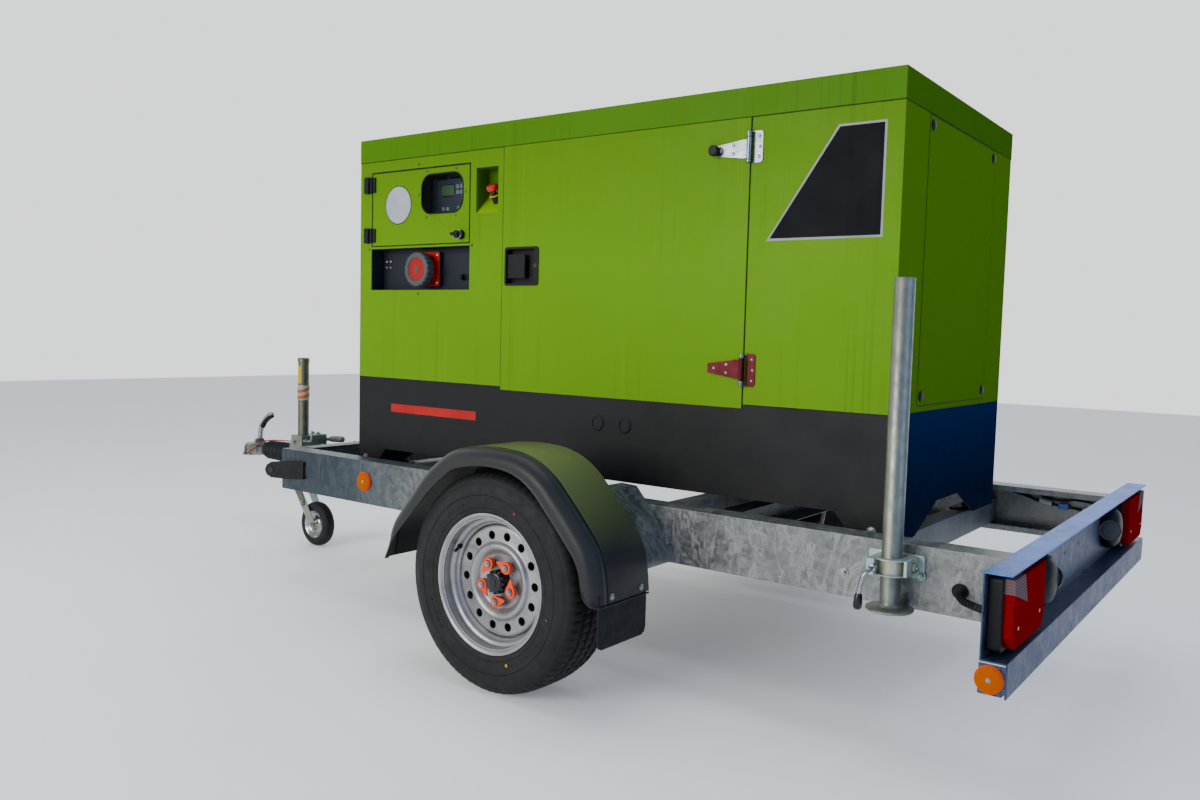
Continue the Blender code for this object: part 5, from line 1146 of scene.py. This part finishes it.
# folded saddle clamp round the tube
def u_shell(r0, r1, z0, z1, x_end, n=20):
    o, i = [], []
    for k in range(n + 1):
        a = math.pi + math.pi * k / n
        o.append((PX + r1 * math.cos(a), PY + r1 * math.sin(a)))
        i.append((PX + r0 * math.cos(a), PY + r0 * math.sin(a)))
    o = [(PX - r1, x_end)] + o + [(PX + r1, x_end)]
    i = [(PX - r0, x_end)] + i + [(PX + r0, x_end)]
    return prism_bm(o + list(reversed(i)), "Z", z0, z1)
out([u_shell(0.0247, 0.0310, 0.459, 0.500, -0.6262), u_shell(0.0247, 0.0430, 0.4960, 0.4998, -0.6262), u_shell(0.0247, 0.0400, 0.4590, 0.4625, -0.6262),
     prism_bm(rrect(1.0190, 0.4730, 0.0690, 0.0280, 0.006), "Y", -0.6262, -0.6204),
     box_bm(0.9830, 1.0020, -0.7235, -0.6800, 0.4600, 0.4990), box_bm(1.0640, 1.0725, -0.7000, -0.6262, 0.4610, 0.4985)], "prop_saddle", ZINC_B, "chassis", 0.0014, 2, slot="zinc_plate", rep="prop_stand_bracket")
b = []
b += hexbolt((1.0725, -0.6630, 0.4790), (1, 0, 0), 0.0110, 0.0080, 0.0150)
b += hexbolt((0.9640, -0.6262, 0.4730), (0, -1, 0), 0.0090, 0.0065, 0.0140)
b += hexbolt((1.0800, -0.6262, 0.4540), (0, -1, 0), 0.0080, 0.0060, 0.0120)
out(b, "saddle_bolts", ZINC, "chassis")
hp = path([(1.002, -0.731, 0.480), (1.002, -0.742, 0.480), (0.999, -0.752, 0.475), (0.990, -0.757, 0.460), (0.984, -0.758, 0.430), (0.982, -0.758, 0.418)], 40)
out([sweep_bm(hp, 0.0052, 16), rod((1.002, -0.7236, 0.480), (1.002, -0.7360, 0.480), 0.0092, 24)], "prop_handle_bar", CHROME, "prop_clamp_handle", slot="bright_steel", rep="prop_clamp_handle", angle=50)
out([turn([(0, 0), (0, 0.0072), (0.006, 0.0092), (0.022, 0.0105), (0.032, 0.0098), (0.036, 0.0070), (0.037, 0.0)], (0.9824, -0.758, 0.4215), (-0.05, 0, -1), 28)], "prop_handle_grip", BLKG, "prop_clamp_handle")

# ===================================================================== jockey and coupling
JX, JY = -1.985, -0.130
out([lathe_bm([(0.2900, 0.0), (0.2900, 0.0262), (0.2920, 0.0275), (0.3020, 0.0275), (0.3040, 0.0262), (0.3045, 0.0241), (0.8300, 0.0241), (0.8310, 0.0262), (0.8440, 0.0262), (0.8480, 0.0235), (0.8480, 0.0)], (JX, JY, 0), "Z", 56)], "jockey_tube_detail", OLIVE, "jockey_tube", slot="zinc_plate", angle=40, rep="jockey_tube")
# storage wrap on the upper tube: clear film, two bands of orange tape and a plain yellow label
def arc_shell(r0, r1, a0, a1, z0, z1, tilt=0.0, n=24):
    bm = bmesh.new()
    rings = []
    for k in range(n + 1):
        a = math.radians(a0 + (a1 - a0) * k / n)
        dz = tilt * math.sin(a)
        rings.append([bm.verts.new((JX + r * math.cos(a), JY + r * math.sin(a), z + dz)) for r, z in ((r0, z0), (r1, z0), (r1, z1), (r0, z1))])
    for A, B in zip(rings, rings[1:]):
        for q in range(4):
            w = (q + 1) % 4
            bm.faces.new((A[q], A[w], B[w], B[q]))
    bm.faces.new(rings[0])
    bm.faces.new(rings[-1])
    return bm
film = [(0.6560, 0.0242), (0.6560, 0.0252), (0.6640, 0.0262), (0.6760, 0.0258), (0.6860, 0.0266), (0.6980, 0.0258), (0.7080, 0.0264), (0.7180, 0.0256), (0.7240, 0.0250), (0.7240, 0.0242)]
out([lathe_bm(film, (JX, JY, 0), "Z", 40)], "tube_film_wrap", plastic("stretch_film", (0.30, 0.29, 0.26), 0.22, 0.8, 90.0, 0.5, 0.4), "jockey_tube")
out([arc_shell(0.0264, 0.0270, -178, 178, 0.6990, 0.7120, 0.010), arc_shell(0.0264, 0.0270, -178, 178, 0.6700, 0.6830, 0.009)], "tube_orange_tape", plastic("orange_tape", (0.42, 0.085, 0.004), 0.35, 0.4, 200.0, 0.4, 0.2), "jockey_tube")
out([arc_shell(0.0242, 0.0247, -150, -62, 0.7330, 0.8120)], "tube_yellow_label", plastic("yellow_label_film", (0.55, 0.36, 0.004), 0.35, 0.1, 300.0, 0.35, 0.2), "jockey_tube")
W = (JX + 0.110, JY, JK_Z)
out([lathe_bm([(-0.0235, 0.0620), (-0.0250, 0.0700), (-0.0248, 0.0800), (-0.0225, 0.0900), (-0.0175, 0.0960), (-0.0100, 0.0990), (0.0, 0.0995), (0.0100, 0.0990), (0.0175, 0.0960), (0.0225, 0.0900), (0.0248, 0.0800), (0.0250, 0.0700), (0.0235, 0.0620)], W, "Y", 72)],
    "jockey_tyre", TYRE, "jockey_wheel", slot="jockey_rubber", angle=50, rep="jockey_wheel")
out([lathe_bm([(-0.0270, 0.0066), (-0.0270, 0.0160), (-0.0180, 0.0180), (-0.0080, 0.0260), (-0.0060, 0.0400), (-0.0120, 0.0520), (-0.0225, 0.0590), (-0.0240, 0.0625), (-0.0210, 0.0640), (0.0210, 0.0640), (0.0240, 0.0625), (0.0225, 0.0590), (0.0120, 0.0520), (0.0060, 0.0400), (0.0080, 0.0260), (0.0180, 0.0180), (0.0270, 0.0160), (0.0270, 0.0066)], W, "Y", 64)],
    "jockey_rim", CHROME, "jockey_wheel", angle=50)
b = []
for s in (-1, 1):
    b += hexbolt((W[0], JY + s * 0.0346, JK_Z), (0, s, 0), 0.0095, 0.0065, 0.0140)
out(b, "jockey_axle_nuts", SCREW, "jockey_fork")
b = []
b += hexbolt((JX - 0.020, -0.164, 0.462), (0, -1, 0), 0.0090, 0.0065, 0.0135)
b += hexbolt((JX + 0.015, -0.060, 0.4950), (0, 0, 1), 0.0090, 0.0065, 0.0140)
b += hexbolt((JX - 0.028, -0.060, 0.4950), (0, 0, 1), 0.0090, 0.0065, 0.0140)
out(b, "jockey_clamp_bolts", ZINC, "chassis")
# pressed plates at the head of the fork, and the swivel bolt
fp = []
for s in (-1, 1):
    y0, y1 = sorted((JY + s * 0.0347, JY + s * 0.0372))
    pts = [(JX - 0.022, 0.262), (JX - 0.018, 0.280), (JX - 0.004, 0.2890), (JX + 0.012, 0.2870), (JX + 0.022, 0.274), (JX + 0.046, 0.226), (JX + 0.062, 0.196), (JX + 0.060, 0.182), (JX + 0.048, 0.176), (JX + 0.036, 0.182), (JX + 0.006, 0.226)]
    fp.append(prism_bm(pts, "Y", y0, y1))
out(fp, "fork_head_plates", OLIVE, "jockey_fork", 0.0009, 2)
b = []
for s in (-1, 1):
    b += hexbolt((JX + 0.002, JY + s * 0.0372, 0.270), (0, s, 0), 0.0080, 0.0055, 0.0115)
    b += hexbolt((JX + 0.046, JY + s * 0.0372, 0.194), (0, s, 0), 0.0065, 0.0045, 0.0095)
out(b, "fork_plate_bolts", SCREW, "jockey_fork")
# gaiter: bellows with rounded folds, narrowed at its ends
def gaiter():
    x0, x1 = -2.4515, -2.2003
    prof, n = [], 112
    for k in range(n + 1):
        f = k / n
        x = x0 + (x1 - x0) * f
        base = 0.0400 + 0.0065 * f
        if f < 0.05 or f > 0.95:
            r = base - 0.002
        else:
            r = base + 0.0048 * math.cos(2 * math.pi * 7.5 * (f - 0.05) / 0.9 + math.pi)
        prof.append((x, r))
    prof.append((x1, 0.0265))
    prof.append((x0, 0.0265))
    ob = out([lathe_bm(prof, (0, 0, 0.375), "X", 56)], "gaiter_detail", RUB, "chassis", slot="gaiter_rubber", angle=60, rep="coupling_gaiter")
    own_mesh(ob)
gaiter()
# coupling head: pressed ball cup with a rolled foot rim, a neck that narrows to the draw tube, and two ears
HX = -2.585
cup = [(0.3385, 0.0262), (0.3380, 0.0470), (0.3400, 0.0492), (0.3440, 0.0492), (0.3480, 0.0460), (0.3560, 0.0425), (0.3700, 0.0420), (0.3830, 0.0400), (0.3930, 0.0345), (0.4000, 0.0240), (0.4030, 0.0120), (0.4035, 0.0),
       (0.3900, 0.0), (0.3890, 0.0120), (0.3820, 0.0210), (0.3700, 0.0262)]
def neck():
    bm = bmesh.new()
    secs = [(-2.590, 0.0350, 0.3500, 0.3960), (-2.560, 0.0405, 0.3440, 0.4020), (-2.520, 0.0420, 0.3420, 0.4040), (-2.490, 0.0385, 0.3430, 0.4045), (-2.470, 0.0330, 0.3470, 0.4030), (-2.4530, 0.0300, 0.3500, 0.4000)]
    rows = []
    for x, hy, z0, z1 in secs:
        rows.append([bm.verts.new((x, a, b)) for a, b in rrect(0.0, (z0 + z1) / 2, hy, (z1 - z0) / 2, min(0.016, hy * 0.6), 5)])
    for A, B in zip(rows, rows[1:]):
        for k in range(len(A)):
            j = (k + 1) % len(A)
            bm.faces.new((A[k], A[j], B[j], B[k]))
    bm.faces.new(rows[0])
    bm.faces.new(rows[-1])
    return bm
ears = [prism_bm([(-2.5450, 0.4000), (-2.5090, 0.4000), (-2.5090, 0.4140), (-2.5150, 0.4225), (-2.5270, 0.4250), (-2.5390, 0.4225), (-2.5450, 0.4140)], "Y", *sorted((s * 0.0133, s * 0.0173))) for s in (-1, 1)]
out([lathe_bm(cup, (HX, 0, 0), "Z", 56), neck(), rod((-2.4600, 0, 0.375), (-2.0860, 0, 0.375), 0.0250, 40)] + ears, "coupling_head_detail", ZINC_H, "coupling", 0.0012, slot="zinc_plate", rep="coupling_head")
out([ring_bm(rrect(-2.520, 0.375, 0.0300, 0.0170, 0.008), rrect(-2.520, 0.375, 0.0270, 0.0140, 0.006), "Y", *sorted((s * 0.0412, s * 0.0428))) for s in (-1, 1)] +
    [box_bm(-2.5400, -2.5000, *sorted((s * 0.0414, s * 0.0424)), 0.3700, 0.3725) for s in (-1, 1)], "coupling_pressings", ZINC_G, "coupling", 0.0004)
# coupling handle: a broad bright band with a black pad inside its curve
hpth = path([(-2.527, 0, 0.4155), (-2.5200, 0, 0.4330), (-2.5160, 0, 0.4600), (-2.5050, 0, 0.4920), (-2.4800, 0, 0.5220), (-2.4450, 0, 0.5450), (-2.4150, 0, 0.5540)], 44)
out([sweep_bm(hpth, [0.0105] * 3 + [0.0128] * 38 + [0.0118, 0.0100, 0.0070], 20), rod((-2.527, -0.0125, 0.4155), (-2.527, 0.0125, 0.4155), 0.0105, 24)], "coupling_handle_bar", CHROME, "coupling_handle", slot="zinc_plate", angle=60, rep="coupling_handle")
# coupling: ball lock bolt, wear indicator, grip sleeve on the handle
b = []
for s in (-1, 1):
    b += hexbolt((-2.527, s * 0.0174, 0.4155), (0, s, 0), 0.0070, 0.0045, 0.0095)
b += hexbolt((-2.4850, 0.0, 0.4041), (0, 0, 1), 0.0095, 0.0070, 0.0140)
out(b, "coupling_bolts", SCREW, "coupling")
out([sweep_bm(path([(-2.5010, 0, 0.4810), (-2.4930, 0, 0.4960), (-2.4720, 0, 0.5180), (-2.4400, 0, 0.5380), (-2.4140, 0, 0.5465)], 24), [0.0085, 0.0110, 0.0122] + [0.0126] * 18 + [0.0120, 0.0105, 0.0070], 20)], "coupling_grip", BLK, "coupling_handle", angle=60)
out([sweep_bm(path([(-1.945, 0, 0.4705), (-1.905, 0, 0.4730), (-1.868, 0, 0.4742)], 16), [0.0145] * 13 + [0.0140, 0.0125, 0.0090], 20)], "handbrake_grip", GALV_D, "handbrake_lever", angle=60)
b = []
for s in (-1, 1):
    b += hexbolt((-2.060, s * 0.0214, 0.455), (0, s, 0), 0.0080, 0.0050, 0.0110)
    for x in (-2.165, -1.995):
        b += hexbolt((x, s * 0.0552, 0.378), (0, s, 0), 0.0105, 0.0075, 0.0155)
out(b, "housing_bolts", ZINC, "chassis")
out([box_bm(-1.9760, -1.9540, -0.0700, -0.0560, 0.3760, 0.4300), box_bm(-1.9760, -1.9540, 0.0560, 0.0700, 0.3760, 0.4300)], "housing_ears", GALV, "chassis", 0.003, 3)
# drawbar fixings
b = []
for s in (-1, 1):
    for f in (0.06, 0.9):
        x = -1.4303 + (-1.95 + 1.4303) * f
        y = 0.378 + (0.058 - 0.378) * f
        b += hexbolt((x - 0.0, s * y, 0.4455), (0, 0, 1), 0.0110, 0.0080, 0.0160)
out(b, "drawbar_bolts", ZINC, "chassis")

# ===================================================================== inside the canopy
fins = [lathe_bm([(-0.60 - 0.028 * k, 0.186), (-0.60 - 0.028 * k, 0.198), (-0.606 - 0.028 * k, 0.198), (-0.606 - 0.028 * k, 0.186)], (0, 0, 1.0), "X", 64) for k in range(9)]
out(fins, "alternator_fins", ALUC, "chassis", 0.0015)
rc = [box_bm(-0.300 + 0.155 * k, -0.175 + 0.155 * k, -0.080, 0.080, 1.3400, 1.3780) for k in range(4)]
out(rc, "rocker_covers", plastic("rocker_enamel", (0.05, 0.055, 0.06), 0.4), "chassis", 0.010, 4)
b = []
for k in range(4):
    for s in (-1, 1):
        b += hexbolt((-0.2375 + 0.155 * k, s * 0.045, 1.3780), (0, 0, 1), 0.0075, 0.0055, 0.011)
for s in (-1, 1):
    for k in range(8):
        b += hexbolt((-0.340 + 0.095 * k, s * 0.160, 0.850), (0, s, 0), 0.0085, 0.0060, 0.012)
        b += hexbolt((-0.340 + 0.095 * k, s * 0.160, 1.170), (0, s, 0), 0.0085, 0.0060, 0.012)
out(b, "engine_bolts", SCREW, "chassis")
out([rod((0.10, -0.1602, 0.95), (0.10, -0.2150, 0.95), 0.042, 40, 0.006), rod((-0.12, -0.1602, 0.92), (-0.12, -0.2150, 0.92), 0.036, 40, 0.006)], "oil_filters", plastic("filter_white", (0.55, 0.55, 0.52), 0.35), "chassis")
inj = [sweep_bm(path([(-0.02 + 0.1 * k, -0.1650, 1.08), (0.0 + 0.08 * k, -0.1900, 1.16), (-0.10 + 0.12 * k, -0.1500, 1.25), (-0.20 + 0.14 * k, -0.0950, 1.30)], 24), 0.0035, 10) for k in range(4)]
out(inj, "injector_pipes", ZINC, "chassis")
out([sweep_bm(path([(0.20, 0.165, 1.22), (0.22, 0.22, 1.30), (0.25, 0.28, 1.38), (0.26, 0.30, 1.40)], 20), 0.030, 24)], "exhaust_pipe", EXH, "chassis")
out([sweep_bm(path([(0.30, 0.05, 1.342), (0.38, 0.05, 1.40), (0.46, 0.05, 1.41), (0.517, 0.05, 1.40)], 20), 0.024, 24)], "coolant_hose", RUB, "chassis")
core = [box_bm(0.5150, 0.5198, -0.300 + 0.012 * k, -0.2985 + 0.012 * k, 0.735, 1.425) for k in range(51)]
out(core, "radiator_fins", ALUC, "chassis")
lam = [ring_bm(rrect(s * 0.0, 1.2, 0.40, 0.36, 0.01), rrect(s * 0.0, 1.2, 0.385, 0.345, 0.008), "Y", *sorted((s * 0.4745, s * 0.4750))) for s in ()]
for s, side in ((-1, "left"), (1, "right")):
    # sound-absorbing foam panel inside each door
    y0, y1 = sorted((s * 0.4750, s * 0.4640))
    bm = prism_bm(rrect(0.120, 1.190, 0.340, 0.340, 0.012), "Y", y0, y1)
    M = rubber("acoustic_foam_" + side, (0.035, 0.035, 0.038), 0.9, 0.2)
    out(bm, "door_foam_" + side, M, "door_" + side, 0.004, 3)

# ===================================================================== floor, light and camera
bm = bmesh.new()
N = 60
vs = [[bm.verts.new((-14 + 28 * i / N, -14 + 28 * j / N, -0.0005)) for j in range(N + 1)] for i in range(N + 1)]
for i in range(N):
    for j in range(N):
        bm.faces.new((vs[i][j], vs[i + 1][j], vs[i + 1][j + 1], vs[i][j + 1]))
me = bpy.data.meshes.new("studio_floor")
bm.to_mesh(me)
bm.free()
floor = bpy.data.objects.new("studio_floor", me)
SC.collection.objects.link(floor)
F = Mat("pale_floor")
me.materials.append(F.set(col=F.mix(F.range(F.noise(2.0, 4.0), 0.3, 0.7, 0.0, 1.0), (0.90, 0.895, 0.885), (0.93, 0.925, 0.915)), rough=0.85, spec=0.1, emit=(1.0, 0.99, 0.97), emit_s=0.16))

w = bpy.data.worlds.new("studio")
SC.world = w
w.use_nodes = True
wt = w.node_tree
bg = wt.nodes["Background"]


def wn(kind, ins, **props):
    nd = wt.nodes.new(kind)
    for k, v in props.items():
        setattr(nd, k, v)
    for k, v in ins.items():
        if isinstance(v, bpy.types.NodeSocket):
            wt.links.new(v, nd.inputs[k])
        else:
            nd.inputs[k].default_value = v
    return nd


tc = wt.nodes.new("ShaderNodeTexCoord")
sep = wn("ShaderNodeSeparateXYZ", {0: tc.outputs["Generated"]})
side_f = wn("ShaderNodeMapRange", {0: sep.outputs[0], 1: 0.0, 2: 0.35, 3: 0.0, 4: 1.0}).outputs[0]
back = wn("ShaderNodeVectorMath", {0: tc.outputs["Generated"], 1: (-0.62, 0.78, 0.0)}, operation="DOT_PRODUCT").outputs["Value"]
back_f = wn("ShaderNodeMapRange", {0: back, 1: 0.10, 2: 0.70, 3: 0.0, 4: 1.0}).outputs[0]
m1 = wn("ShaderNodeMix", {0: side_f, 6: (0.52, 0.53, 0.54, 1), 7: (0.20, 0.34, 0.64, 1)}, data_type="RGBA")
m2 = wn("ShaderNodeMix", {0: back_f, 6: m1.outputs[2], 7: (1.50, 1.52, 1.55, 1)}, data_type="RGBA")
wt.links.new(m2.outputs[2], bg.inputs[0])
bg.inputs[1].default_value = 1.0


def area(name, loc, target, size, power, col=(1, 1, 1), sy=None):
    l = bpy.data.lights.new(name, "AREA")
    l.energy, l.color, l.size = power, col, size
    if sy:
        l.shape, l.size_y = "RECTANGLE", sy
    o = bpy.data.objects.new(name, l)
    SC.collection.objects.link(o)
    o.location = Vector(loc)
    o.rotation_mode = "QUATERNION"
    o.rotation_quaternion = (Vector(target) - Vector(loc)).to_track_quat("-Z", "Y")
    return o


area("key", (-1.0, -6.4, 2.3), (0.5, -0.3, 0.75), 4.2, 300, (1.0, 0.985, 0.95), 2.6)
area("fill", (5.2, -1.2, 2.2), (0.8, -0.2, 0.7), 2.6, 34, (0.50, 0.68, 1.0))
area("top", (0.3, -0.5, 5.6), (0.3, 0, 0.8), 3.6, 90, (0.90, 0.96, 1.0), 3.0)

cam = bpy.data.cameras.new("camera")
cam.sensor_width = 36.0
cam.lens = 973.68 / 1200 * 36.0
cam.shift_x = (600 - 635.851) / 1200
cam.shift_y = (403.587 - 400) / 1200
cam.clip_start, cam.clip_end = 0.05, 100
co = bpy.data.objects.new("camera", cam)
SC.collection.objects.link(co)
SC.camera = co
yaw, pit, rol = math.radians(125.65851), math.radians(-4.14622), math.radians(1.62136)
f = Vector((math.cos(yaw) * math.cos(pit), math.sin(yaw) * math.cos(pit), math.sin(pit)))
r = Vector((math.sin(yaw), -math.cos(yaw), 0))
u = r.cross(f)
r2 = r * math.cos(rol) + u * math.sin(rol)
u2 = -r * math.sin(rol) + u * math.cos(rol)
M4 = Matrix(((r2.x, u2.x, -f.x, 1.84044 + OX), (r2.y, u2.y, -f.y, -2.85295), (r2.z, u2.z, -f.z, 1.00407), (0, 0, 0, 1)))
co.matrix_world = M4

bpy.context.view_layer.update()
